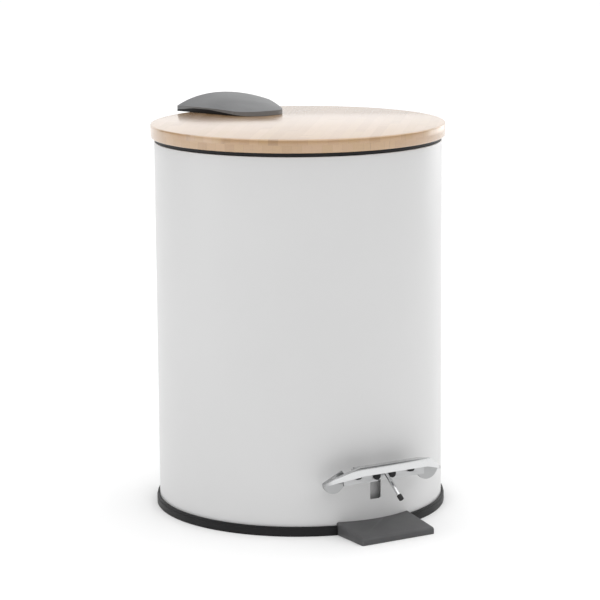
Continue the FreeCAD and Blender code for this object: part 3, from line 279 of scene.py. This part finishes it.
def carve(piece, cutter, operation="DIFFERENCE"):
    """Cuts one piece with another and throws the cutter away."""
    apply_modifier(piece, "BOOLEAN", operation=operation, object=cutter, solver="EXACT")
    bpy.data.objects.remove(cutter)
    clean_solid(piece)
    smooth(piece)


def pick_upper_rim(piece):
    """In edit mode, selects the edges where a top face meets an upright side."""
    bpy.ops.mesh.select_all(action="DESELECT")
    mesh = bmesh.from_edit_mesh(piece.data)
    for edge in mesh.edges:
        slopes = [face.normal.z for face in edge.link_faces]
        edge.select = len(slopes) == 2 and max(slopes) > 0.8 and abs(min(slopes)) < 0.3
    bmesh.update_edit_mesh(piece.data)


def free_copy(node):
    """A copy of a design piece, merged and with its flat faces whole, that may be changed."""
    make_active(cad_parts[node])
    bpy.ops.object.duplicate()
    piece = bpy.context.object
    piece.parent = None
    for key in list(piece.keys()):
        del piece[key]
    bpy.ops.object.mode_set(mode="EDIT")
    bpy.ops.mesh.select_all(action="SELECT")
    bpy.ops.mesh.remove_doubles(threshold=WELD)
    bpy.ops.mesh.dissolve_limited(angle_limit=math.radians(0.6))
    bpy.ops.object.mode_set(mode="OBJECT")
    return piece


def softened(node, rounding, steps=3, sharp=40):
    """A copy of a design piece with its sharp edges rounded as its making leaves them."""
    piece = free_copy(node)
    apply_modifier(piece, "BEVEL", width=rounding, segments=steps, limit_method="ANGLE",
                   angle_limit=math.radians(sharp), use_clamp_overlap=True, harden_normals=False)
    smooth(piece, 40)
    return piece


def turn_to(piece, place, direction):
    """Moves a piece modelled about Z so that its foot is at a place and its top points one way."""
    make_active(piece)
    quarter = Vector((0, 0, 1)).rotation_difference(Vector(direction).normalized())
    piece.matrix_world = Matrix.Translation(place) @ quarter.to_matrix().to_4x4()
    bpy.ops.object.transform_apply(location=True, rotation=True, scale=True)
    return piece


def copies(piece, places):
    """One object of equal pieces, each at a place and with a direction of its own."""
    made = []
    for place, direction in places:
        make_active(piece)
        bpy.ops.object.duplicate()
        made.append(turn_to(bpy.context.object, place, direction))
    bpy.data.objects.remove(piece)
    clear_selection()
    for other in made:
        other.select_set(True)
    bpy.context.view_layer.objects.active = made[0]
    if len(made) > 1:
        bpy.ops.object.join()
    return made[0]


def domed_head(name, radius, height, shank, length, recess=True):
    """A domed head on its shank, its seat at the origin, plain or with a cross recess."""
    head = lathe(name, [(0, -length), (shank, -length), (shank, 0), (radius, 0, height * 0.15),
                        (radius * 0.94, height * 0.45, height * 0.2),
                        (radius * 0.6, height * 0.9, height * 0.3),
                        (0, height)], steps=32, round_steps=2)
    if recess:
        wide, narrow, deep = radius * 0.58, radius * 0.13, height * 0.45
        cross = block((-wide, -narrow, deep), (wide, narrow, height * 2))
        carve(cross, block((-narrow, -wide, deep), (narrow, wide, height * 2)), "UNION")
        carve(head, cross)
    return head


def around(radius, height, angles, direction=None):
    """Places on a circle about Z, at degrees from +X, facing outwards unless told."""
    spots = []
    for angle in angles:
        out = Vector((math.cos(math.radians(angle)), math.sin(math.radians(angle)), 0))
        spots.append((out * radius + Vector((0, 0, height)), direction or out))
    return spots


def dress(piece, name, material, body, slot, *replaced):
    """Names a finished piece, gives it its finish and hangs it on its body."""
    piece.name = name
    piece.data.name = name
    piece.data.materials.clear()
    piece.data.materials.append(material)
    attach(piece, body)
    if replaced:
        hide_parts(*replaced)
    return piece


def finish_node(node, material):
    """Gives a design piece that stays as it is its finish."""
    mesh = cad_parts[node].data
    mesh.materials.clear()
    mesh.materials.append(material)


# ---------------------------------------------------------------- finishes

FINISHES = {}


class Finish:
    """A node material that is built up step by step from Object coordinates."""

    def __init__(self, name):
        self.material = bpy.data.materials.new(name)
        self.material.use_nodes = True
        self.tree = self.material.node_tree
        self.shader = self.tree.nodes["Principled BSDF"]
        self.place = self.add("ShaderNodeTexCoord").outputs["Object"]

    @classmethod
    def of(cls, material):
        """Takes up a finish again, to add to it."""
        finish = cls.__new__(cls)
        finish.material = material
        finish.tree = material.node_tree
        finish.shader = finish.tree.nodes["Principled BSDF"]
        finish.place = finish.add("ShaderNodeTexCoord").outputs["Object"]
        return finish

    def add(self, kind, settings=None, **inputs):
        node = self.tree.nodes.new(kind)
        for name, value in (settings or {}).items():
            setattr(node, name, value)
        for name, value in inputs.items():
            by_number = name[1:].isdigit()
            socket = node.inputs[int(name[1:]) if by_number else name.replace("_", " ")]
            if isinstance(value, bpy.types.NodeSocket):
                self.tree.links.new(value, socket)
            else:
                socket.default_value = value
        return node

    def math(self, operation, first, second=0.0):
        return self.add("ShaderNodeMath", {"operation": operation}, i0=first, i1=second).outputs[0]

    def noise(self, scale, detail=3.0, place=None, **inputs):
        node = self.add("ShaderNodeTexNoise", Vector=place or self.place, Scale=scale,
                        Detail=detail, **inputs)
        return node.outputs["Fac"]

    def ramp(self, value, stops):
        node = self.add("ShaderNodeValToRGB", Fac=value)
        ramp = node.color_ramp
        while len(ramp.elements) < len(stops):
            ramp.elements.new(0.5)
        for element, (position, colour) in zip(ramp.elements, stops):
            element.position = position
            element.color = (*colour, 1.0)
        return node.outputs["Color"]

    def spread(self, value, low, high):
        """A zero to one value spread between two limits."""
        return self.between(value, 0.0, 1.0, low, high)

    def between(self, value, low, high, start=0.0, stop=1.0):
        """Runs from start to stop as a value goes from its low limit to its high one."""
        return self.add("ShaderNodeMapRange", Value=value, From_Min=low, From_Max=high,
                        To_Min=start, To_Max=stop).outputs["Result"]

    def off_middle(self, value):
        """How far a value's fraction lies from one half."""
        return self.math("ABSOLUTE", self.math("SUBTRACT", self.math("FRACT", value), 0.5))

    def mix(self, factor, first, second, blend="MIX"):
        node = self.add("ShaderNodeMix", {"data_type": "RGBA", "blend_type": blend}, Factor=factor)
        for socket, value in ((node.inputs[6], first), (node.inputs[7], second)):
            if isinstance(value, bpy.types.NodeSocket):
                self.tree.links.new(value, socket)
            else:
                socket.default_value = (*value, 1.0)
        return node.outputs[2]

    def bump(self, height, distance, strength=1.0, under=None):
        node = self.add("ShaderNodeBump", Height=height, Distance=distance, Strength=strength)
        if under is not None:
            self.tree.links.new(under, node.inputs["Normal"])
        return node.outputs["Normal"]

    def set(self, **inputs):
        for name, value in inputs.items():
            socket = self.shader.inputs[name.replace("_", " ")]
            if isinstance(value, bpy.types.NodeSocket):
                self.tree.links.new(value, socket)
            else:
                socket.default_value = value
        return self


def shade(colour, factor):
    return tuple(channel * factor for channel in colour)


def powder_coat():
    """White satin powder coat: a fine orange peel, and barely uneven tone."""
    coat = Finish("white_powder_coat")
    tone = coat.noise(9.0, 3.0)
    base = tuple(colours().coat)
    colour = coat.ramp(tone, [(0.3, shade(base, 0.975)), (0.7, base)])
    peel = coat.noise(900.0, 2.0)
    grit = coat.noise(4200.0, 1.0)
    rough = coat.spread(coat.noise(40.0, 4.0), 0.34, 0.44)
    normal = coat.bump(peel, 0.05 * MM, 0.35)
    normal = coat.bump(grit, 0.012 * MM, 0.4, normal)
    coat.set(Base_Color=colour, Roughness=rough, Normal=normal,
             Coat_Weight=0.25, Coat_Roughness=0.22)
    return coat.material


def moulded(name, colour, low, high, grain=2600.0, depth=0.03):
    """Moulded plastic: a fine spark-eroded grain, and edges rubbed a little paler."""
    plastic = Finish(name)
    cloud = plastic.noise(35.0, 4.0)
    body = plastic.ramp(cloud, [(0.3, shade(colour, 0.86)), (0.7, shade(colour, 1.12))])
    edge = plastic.add("ShaderNodeNewGeometry").outputs["Pointiness"]
    worn = plastic.between(edge, 0.52, 0.62)
    patch = plastic.math("MULTIPLY", worn, plastic.noise(180.0, 3.0))
    body = plastic.mix(plastic.math("MULTIPLY", patch, 0.5), body, shade(colour, 2.2))
    grains = plastic.add("ShaderNodeTexVoronoi", {"feature": "SMOOTH_F1"}, Vector=plastic.place,
                         Scale=grain).outputs["Distance"]
    rough = plastic.spread(plastic.noise(60.0, 5.0), low, high)
    normal = plastic.bump(grains, depth * MM, 0.5)
    plastic.set(Base_Color=body, Roughness=rough, Normal=normal, Specular_IOR_Level=0.35)
    return plastic.material


def cover_plastic():
    """Grey satin cover whose lower flanks carry a painted black band against the lid: painted
    shadow of the gap under the cover.
    """
    material = moulded("grey_satin_moulded", tuple(colours().cover), 0.40, 0.52, 3200.0, 0.02)
    cover = Finish.of(material)
    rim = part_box("hinge_cover")[0].z
    # Painted shadow: a near-black band along the cover's lower flanks stands in for the dark gap
    # between cover and lid. It rises to full height from 48 mm to 78 mm along the cover and falls
    # to a quarter by 111 mm.
    painted_shadow_height = 2.9 * MM
    _, along, up = cover.add("ShaderNodeSeparateXYZ", Vector=cover.place).outputs
    swell = cover.between(along, 48 * MM, 78 * MM)
    fade = cover.between(along, 92 * MM, 111 * MM, 1.0, 0.25)
    height = cover.math("MULTIPLY", cover.math("MULTIPLY", swell, fade), painted_shadow_height)
    in_painted_shadow = cover.math("LESS_THAN", cover.math("SUBTRACT", up, rim), height)
    base = cover.shader.inputs["Base Color"].links[0].from_socket
    cover.set(Base_Color=cover.mix(in_painted_shadow, base, shade(colours().base, 1.5)))
    return material


def bamboo():
    """Lacquered bamboo board: glued strips with their own tones, fibres, nodes and glue lines."""
    wood = Finish("lacquered_bamboo")
    turned = wood.add("ShaderNodeMapping", {"vector_type": "POINT"}, Vector=wood.place,
                      Rotation=(0.0, 0.0, -sizes().grain_turn)).outputs["Vector"]
    across, along, up = wood.add("ShaderNodeSeparateXYZ", Vector=turned).outputs
    glue_height, ply_thick, ply_shift = 0.2655, 4.9 * MM, 2.7 * MM
    ply = wood.math("FLOOR", wood.math(
        "MULTIPLY", wood.math("SUBTRACT", up, glue_height), 1 / ply_thick))
    shifted = wood.math("ADD", across, wood.math("MULTIPLY", ply, ply_shift))
    position = wood.math("MULTIPLY", shifted, 1.0 / sizes().strip_width)
    strip = wood.math("FLOOR", position)
    seed = wood.add("ShaderNodeCombineXYZ", X=strip, Y=ply, Z=0.37).outputs["Vector"]
    strip_draw = wood.add("ShaderNodeTexWhiteNoise", {"noise_dimensions": "3D"},
                          Vector=seed).outputs["Value"]
    run = wood.math("ADD", wood.math("MULTIPLY", along, 1.0 / sizes().strip_length),
                    wood.math("MULTIPLY", strip_draw, 7.3))
    joint = wood.math("FLOOR", run)
    key = wood.add("ShaderNodeCombineXYZ", X=strip, Y=joint, Z=ply).outputs["Vector"]
    draw = wood.add("ShaderNodeTexWhiteNoise", {"noise_dimensions": "3D"}, Vector=key)
    pale, deep = tuple(colours().bamboo_pale), tuple(colours().bamboo_deep)
    middle = tuple((a + b) / 2 for a, b in zip(pale, deep))
    tone = wood.ramp(draw.outputs["Value"], [
        (0.0, tuple(m * 0.55 + d * 0.45 for m, d in zip(middle, deep))),
        (0.35, middle),
        (0.65, tuple(0.4 * m + 0.6 * p for m, p in zip(middle, pale))),
        (1.0, pale)])
    blush = wood.add("ShaderNodeSeparateColor", Color=draw.outputs["Color"]).outputs[1]
    pink = wood.mix(wood.math("MULTIPLY", blush, 0.35), tone, (0.62, 0.38, 0.25))

    stretched = wood.add("ShaderNodeMapping", {"vector_type": "POINT"}, Vector=turned,
                         Scale=(1.0, 0.035, 1.0)).outputs["Vector"]
    fibre = wood.noise(1500.0, 4.0, stretched)
    vessel = wood.noise(3800.0, 2.0, stretched)
    streak = wood.noise(260.0, 3.0, stretched)
    grained = wood.mix(wood.spread(fibre, 0.0, 0.42), pink, shade(deep, 0.82))
    grained = wood.mix(wood.spread(streak, 0.0, 0.28), grained, shade(pale, 1.08))
    dark = wood.between(vessel, 0.62, 0.72)
    grained = wood.mix(wood.math("MULTIPLY", dark, 0.30), grained, shade(deep, 0.55))

    bent = wood.math("ADD", run, wood.math("MULTIPLY", wood.noise(300.0, 2.0, turned), 0.02))
    ring = wood.off_middle(wood.math("ADD", bent, 0.43))
    node = wood.between(ring, 0.0, 0.012, 1.0, 0.0)
    grained = wood.mix(wood.math("MULTIPLY", node, 0.45), grained, shade(deep, 0.7))

    glue = wood.between(wood.off_middle(position), 0.485, 0.499)
    butt = wood.between(wood.off_middle(run), 0.4988, 0.4996)
    line = wood.math("MAXIMUM", glue, butt)
    colour = wood.mix(wood.math("MULTIPLY", line, 0.5), grained, shade(deep, 0.6))

    normal = wood.bump(fibre, 0.02 * MM, 0.2)
    normal = wood.bump(line, -0.02 * MM, 0.6, normal)
    rough = wood.spread(wood.noise(25.0, 4.0), 0.30, 0.42)
    wood.set(Base_Color=colour, Roughness=rough, Normal=normal, Coat_Weight=1.0, Coat_IOR=2.0,
             Coat_Roughness=0.16)
    return wood.material


def chrome():
    """Bright chrome plating with faint rubbing marks; behind the tread's front band it is rougher
    and darkened with painted shade.
    """
    plate = Finish("bright_chrome")
    smear = plate.noise(22.0, 5.0)
    scratch = plate.add("ShaderNodeMapping", Vector=plate.place,
                        Scale=(1.0, 0.04, 1.0)).outputs["Vector"]
    fine = plate.noise(2400.0, 2.0, scratch)
    rough = plate.math("ADD", plate.spread(smear, 0.07, 0.17), plate.math("MULTIPLY", fine, 0.04))
    tint = tuple(colours().chrome)
    colour = plate.ramp(smear, [(0.25, shade(tint, 0.94)), (0.75, tint)])
    # Behind the tread's front band the chrome is darkened towards 0.55 of its tint: painted shade,
    # as if the band shaded the parts behind it. It is also made rougher there.
    unshaded_until, painted_shade_from = -0.1135, -0.1105
    depth = plate.add("ShaderNodeSeparateXYZ", Vector=plate.place).outputs[1]
    painted_shade_and_rough_behind_band = plate.between(depth, unshaded_until, painted_shade_from)
    colour = plate.mix(plate.math("MULTIPLY", painted_shade_and_rough_behind_band, 0.85), colour, shade(tint, 0.55))
    rough = plate.math("ADD", rough, plate.math("MULTIPLY", painted_shade_and_rough_behind_band, 0.22))
    wave = plate.bump(plate.noise(70.0, 2.0), 0.04 * MM, 0.25)
    plate.set(Base_Color=colour, Metallic=1.0, Roughness=rough, Normal=wave)
    return plate.material


def black_steel():
    """Black oxidised steel: a thin oily skin with rubbed patches."""
    steel = Finish("black_oxide_steel")
    cloud = steel.noise(120.0, 4.0)
    colour = steel.ramp(cloud, [(0.35, (0.010, 0.010, 0.011)), (0.75, (0.030, 0.030, 0.032))])
    steel.set(Base_Color=colour, Metallic=0.6, Roughness=steel.spread(cloud, 0.35, 0.55),
              Normal=steel.bump(steel.noise(1600.0, 3.0), 0.02 * MM, 0.4))
    return steel.material


def zinc_steel():
    """Zinc plated steel: a drawn grain and cloudy patches."""
    steel = Finish("zinc_plated_steel")
    drawn = steel.add("ShaderNodeMapping", Vector=steel.place,
                      Scale=(1.0, 1.0, 0.05)).outputs["Vector"]
    grain = steel.noise(1800.0, 4.0, drawn)
    cloud = steel.noise(60.0, 5.0)
    colour = steel.ramp(cloud, [(0.3, (0.42, 0.43, 0.44)), (0.7, (0.60, 0.60, 0.59))])
    rough = steel.spread(grain, 0.25, 0.45)
    steel.set(Base_Color=colour, Metallic=1.0, Roughness=rough,
              Normal=steel.bump(grain, 0.02 * MM, 0.4))
    return steel.material


def rubber():
    """Matt black rubber with a dusty bloom."""
    soft = Finish("matt_rubber")
    bloom = soft.noise(90.0, 5.0)
    colour = soft.ramp(bloom, [(0.3, (0.012, 0.012, 0.012)), (0.75, (0.035, 0.034, 0.033))])
    skin = soft.noise(1500.0, 3.0)
    soft.set(Base_Color=colour, Roughness=soft.spread(bloom, 0.72, 0.9),
             Normal=soft.bump(skin, 0.04 * MM, 0.5))
    return soft.material


def finishes():
    """Every finish once, made when it is first asked for."""
    if not FINISHES:
        FINISHES.update(
            coat=powder_coat(),
            base=moulded("black_moulded", tuple(colours().base), 0.42, 0.60),
            foot=moulded("dark_grey_moulded", tuple(colours().foot), 0.45, 0.62, 1900.0, 0.05),
            cover=cover_plastic(),
            bucket=moulded("bucket_moulded", tuple(colours().bucket), 0.34, 0.50, 2200.0, 0.03),
            nylon=moulded("natural_nylon", (0.62, 0.60, 0.54), 0.30, 0.42, 3000.0, 0.015),
            bamboo=bamboo(), chrome=chrome(), steel=zinc_steel(),
            black_steel=black_steel(), rubber=rubber())
    return FINISHES


# ---------------------------------------------------------------- the bin's pieces

class BIN_OT_drum(bpy.types.Operator):
    """The coated drum with its folded hem, pedal slot and back seam"""
    bl_idname = "bin.drum"
    bl_label = "Drum"

    def execute(self, context):
        low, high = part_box("body_shell")
        outside, sheet, hem = high.x, 0.8 * MM, 0.9 * MM
        inside, hem_foot = outside - sheet, high.z - 2.2 * MM
        turn = context.scene.bin_sizes.hem_round
        wall = lathe("drum", [
            (inside, low.z), (outside, low.z), (outside, high.z, turn),
            (inside - hem, high.z, turn),
            (inside - hem, hem_foot, turn * 0.6), (inside, hem_foot)], steps=256)
        slot_low, slot_high, slot_half = 21.93 * MM, 41.9 * MM, 4.3 * MM
        slot_corner, through = 1.2 * MM, 5 * MM
        carve(wall, block((-slot_half, -outside - through, slot_low),
                          (slot_half, -outside + through, slot_high), slot_corner, lengthwise=True))
        dress(wall, "drum_wall", finishes()["coat"], "housing", "white_coat", "body_shell")
        sunk, proud, seam_turn = outside - 0.02 * MM, outside + 0.45 * MM, 0.2 * MM
        seam_low, seam_high = 8 * MM, high.z - 34 * MM
        seam = lathe("seam", [
            (sunk, seam_low), (proud, seam_low, seam_turn),
            (proud, seam_high, seam_turn), (sunk, seam_high)],
            steps=8, angle=math.radians(4.2), start=math.radians(92.1))
        dress(seam, "drum_back_seam", finishes()["coat"], "housing", "white_coat")
        return {"FINISHED"}


class BIN_OT_base(bpy.types.Operator):
    """The base moulding, its pads, and the foot with its screws"""
    bl_idname = "bin.base"
    bl_label = "Base and foot"

    def execute(self, context):
        edge = context.scene.bin_sizes
        made = finishes()
        tray = softened("base_tray", 0.25 * MM)
        dress(tray, "base_moulding", made["base"], "housing", "black_plastic", "base_tray")
        foot = softened("stabiliser_foot", edge.moulded_round)
        dress(foot, "floor_foot", made["foot"], "housing", "foot_plastic", "stabiliser_foot")
        finish_node("anti_slip_pads", made["rubber"])
        finish_node("foot_screws", made["steel"])
        collar = softened("rim_collar", 0.3 * MM)
        dress(collar, "drum_collar", made["base"], "housing", "black_plastic", "rim_collar")
        return {"FINISHED"}


class BIN_OT_lid(bpy.types.Operator):
    """The bamboo lid and the plate under it"""
    bl_idname = "bin.lid"
    bl_label = "Lid"

    def execute(self, context):
        low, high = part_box("lid_panel")
        radius = -low.y
        turn = context.scene.bin_sizes.lid_round
        panel = lathe("lid", [
            (0, low.z), (radius, low.z, turn), (radius, high.z, turn), (0, high.z)], steps=256)
        notch_half, notch, through = 27 * MM, high.y, 5 * MM
        carve(panel, block((-notch_half, notch, low.z - through),
                           (notch_half, notch + 20 * MM, high.z + through)))
        dress(panel, "bamboo_lid", finishes()["bamboo"], "lid", "bamboo", "lid_panel")
        for node in ("lid_liner", "crank_clevis"):
            piece = softened(node, 0.25 * MM)
            dress(piece, node + "_moulded", finishes()["base"], "lid", "black_plastic", node)
        finish_node("lid_buffers", finishes()["rubber"])
        screw_circle, screw_seat = 70 * MM, 258 * MM
        spots = around(screw_circle, screw_seat, (45, 135, 225, 315), (0, 0, -1))
        screws = copies(domed_head("screw", 3 * MM, 1.3 * MM, 1.5 * MM, 6 * MM), spots)
        smooth(screws)
        dress(screws, "cross_liner_screws", finishes()["steel"], "lid", "steel", "liner_screws")
        for node in ("clevis_screws", "crank_pin"):
            finish_node(node, finishes()["steel"])
        return {"FINISHED"}


class BIN_OT_hinge(bpy.types.Operator):
    """The hinge bracket, arm, pin, rivets and cover"""
    bl_idname = "bin.hinge"
    bl_label = "Hinge"

    def execute(self, context):
        made = finishes()
        edge = context.scene.bin_sizes
        cover = free_copy("hinge_cover")
        crown_foot, crown_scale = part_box("hinge_cover")[0].z + 1.9 * MM, 0.84
        make_active(cover)
        bpy.ops.object.mode_set(mode="EDIT")
        pick_vertices(cover, lambda place: place.z > crown_foot)
        bpy.ops.transform.resize(value=(1, 1, crown_scale), center_override=(0, 0, crown_foot))
        pick_upper_rim(cover)
        bpy.ops.mesh.bevel(offset=edge.cover_round, segments=6, affect="EDGES", clamp_overlap=True)
        bpy.ops.object.mode_set(mode="OBJECT")
        clean_solid(cover)
        smooth(cover, 40)
        dress(cover, "hinge_cap", made["cover"], "lid", "cover_plastic", "hinge_cover")
        bracket = softened("hinge_bracket", 0.35 * MM)
        dress(bracket, "hinge_ears", made["base"], "housing", "black_plastic", "hinge_bracket")
        arm = softened("hinge_arm", 0.35 * MM)
        dress(arm, "hinge_knuckle", made["base"], "lid", "black_plastic", "hinge_arm")
        rivet_low, rivet_high, rivet_circle = 231 * MM, 243 * MM, 102.4 * MM
        spots = [spot for height in (rivet_low, rivet_high)
                 for spot in around(rivet_circle, height, (79.5, 100.5))]
        rivets = copies(
            domed_head("rivet", 3 * MM, 1.1 * MM, 1.6 * MM, 6 * MM, recess=False), spots)
        smooth(rivets)
        dress(rivets, "domed_bracket_rivets", made["steel"], "housing", "steel", "bracket_rivets")
        for node in ("hinge_pin", "hinge_arm_screws"):
            finish_node(node, made["steel"])
        return {"FINISHED"}


class BIN_OT_bucket(bpy.types.Operator):
    """The inner bucket with its bail and grip"""
    bl_idname = "bin.bucket"
    bl_label = "Bucket"

    def execute(self, context):
        made = finishes()
        pail = softened("inner_bucket", 0.4 * MM)
        dress(pail, "bucket_pail", made["bucket"], "housing", "bucket_plastic", "inner_bucket")
        finish_node("bucket_bail", made["steel"])
        finish_node("bail_grip", made["base"])
        return {"FINISHED"}


class BIN_OT_linkage(bpy.types.Operator):
    """The lift rod with its collar and guide"""
    bl_idname = "bin.linkage"
    bl_label = "Lift linkage"

    def execute(self, context):
        made = finishes()
        rivet_circle, rivet_height = 100.05 * MM, 92 * MM
        spots = around(rivet_circle, rivet_height, (87, 93))
        rivets = copies(
            domed_head("rivet", 2.4 * MM, 0.95 * MM, 1.2 * MM, 4.5 * MM, recess=False), spots)
        smooth(rivets)
        dress(rivets, "domed_guide_rivets", made["steel"], "housing", "steel", "guide_rivets")
        for node in ("lift_rod", "rod_collar", "pivot_stand", "stand_screws", "pivot_pin"):
            finish_node(node, made["steel"])
        finish_node("rod_guide", made["base"])
        finish_node("pivot_bushes", made["nylon"])
        return {"FINISHED"}


class BIN_OT_pedal(bpy.types.Operator):
    """The lever, bracket, chromed tread and stop peg"""
    bl_idname = "bin.pedal"
    bl_label = "Pedal"

    def execute(self, context):
        made = finishes()
        edge = context.scene.bin_sizes
        lever = softened("pedal_lever", edge.pressed_round)
        dress(lever, "lever_strip", made["coat"], "pedal", "white_coat", "pedal_lever")
        strip = softened("pedal_bracket", edge.pressed_round)
        dress(strip, "tread_bracket", made["chrome"], "pedal", "chrome", "pedal_bracket")
        tread = softened("pedal_tread", edge.pressed_round)
        dress(tread, "tread", made["chrome"], "pedal", "chrome", "pedal_tread")
        finish_node("tread_rivets", made["chrome"])
        finish_node("bracket_pins", made["black_steel"])
        finish_node("bracket_plugs", made["rubber"])
        finish_node("stop_peg", made["chrome"])
        finish_node("peg_tip", made["rubber"])
        return {"FINISHED"}


class BIN_OT_stage(bpy.types.Operator):
    """The pale floor, the studio lights and the camera"""
    bl_idname = "bin.stage"
    bl_label = "Stage"

    def execute(self, context):
        stage = context.scene.bin_stage
        clear_selection()
        bpy.ops.mesh.primitive_plane_add(size=60, location=(0, 0, 0))
        floor = context.object
        floor.name = "floor"
        paper = Finish("white_paper")
        tone = paper.noise(3.0, 2.0)
        sheet = paper.ramp(tone, [(0.0, (0.90, 0.90, 0.90)), (1.0, (0.92, 0.92, 0.92))])
        paper.set(Base_Color=sheet, Roughness=0.9, Specular_IOR_Level=0.1)
        floor.data.materials.append(paper.material)

        world = bpy.data.worlds.new("studio")
        context.scene.world = world
        world.use_nodes = True
        sky = world.node_tree.nodes["Background"]
        sky.inputs["Color"].default_value = (1, 1, 1, 1)
        sky.inputs["Strength"].default_value = stage.sky

        bpy.ops.object.light_add(type="SUN", location=(0, 0, 2), rotation=(math.radians(8), 0, 0))
        context.object.name = "overhead"
        context.object.data.energy = stage.top_light
        context.object.data.angle = math.radians(120)
        for name, place, width, height, power in (
                ("back", (1.7, 3.6, 1.15), 6.4, 1.7, stage.back_light),
                ("left", (-1.6, 0.5, 0.8), 1.0, 1.4, stage.side_light),
                ("right", (1.5, 0.4, 0.8), 1.0, 1.4, stage.side_light * 1.6)):
            bpy.ops.object.light_add(type="AREA", location=place)
            lamp = context.object
            lamp.name = f"{name}_soft_box"
            lamp.data.shape = "RECTANGLE"
            lamp.data.size = width
            lamp.data.size_y = height
            lamp.data.energy = power
            aim = Vector((0, 0, place[2])) - Vector(place)
            lamp.rotation_euler = aim.to_track_quat("-Z", "Y").to_euler()

        bpy.ops.object.camera_add(location=stage.camera_place)
        camera = context.object
        camera.name = "studio_camera"
        heading = Matrix.Rotation(stage.camera_turn, 4, "Z")
        tilt = Matrix.Rotation(math.pi / 2 - stage.camera_tilt, 4, "X")
        roll = Matrix.Rotation(stage.camera_roll, 4, "Z")
        camera.matrix_world = Matrix.Translation(stage.camera_place) @ heading @ tilt @ roll
        camera.data.lens = stage.lens
        camera.data.sensor_width = 36.0
        camera.data.clip_end = 100.0
        context.scene.camera = camera
        context.scene.view_settings.view_transform = "Standard"
        return {"FINISHED"}


class BIN_PT_pieces(bpy.types.Panel):
    """The list of the bin's pieces in the sidebar"""
    bl_idname = "BIN_PT_pieces"
    bl_label = "Pedal bin"
    bl_space_type = "VIEW_3D"
    bl_region_type = "UI"
    bl_category = "Pedal bin"

    def draw(self, context):
        column = self.layout.column(align=True)
        for operator in OPERATORS:
            column.operator(operator.bl_idname, text=operator.bl_label)
        for group in (context.scene.bin_sizes, context.scene.bin_colours, context.scene.bin_stage):
            for name in group.__annotations__:
                self.layout.prop(group, name)


OPERATORS = (BIN_OT_drum, BIN_OT_base, BIN_OT_bucket, BIN_OT_lid, BIN_OT_hinge, BIN_OT_linkage,
             BIN_OT_pedal, BIN_OT_stage)
GROUPS = (("bin_sizes", BinSizes), ("bin_colours", BinColours), ("bin_stage", StageSettings))


def register():
    for name, group in GROUPS:
        bpy.utils.register_class(group)
        setattr(bpy.types.Scene, name, PointerProperty(type=group))
    for operator in OPERATORS:
        bpy.utils.register_class(operator)
    bpy.utils.register_class(BIN_PT_pieces)


def unregister():
    bpy.utils.unregister_class(BIN_PT_pieces)
    for operator in reversed(OPERATORS):
        bpy.utils.unregister_class(operator)
    for name, group in reversed(GROUPS):
        delattr(bpy.types.Scene, name)
        bpy.utils.unregister_class(group)


def main():
    register()
    bpy.ops.bin.drum()
    bpy.ops.bin.base()
    bpy.ops.bin.bucket()
    bpy.ops.bin.lid()
    bpy.ops.bin.hinge()
    bpy.ops.bin.linkage()
    bpy.ops.bin.pedal()
    bpy.ops.bin.stage()


if __name__ == "__main__":
    main()
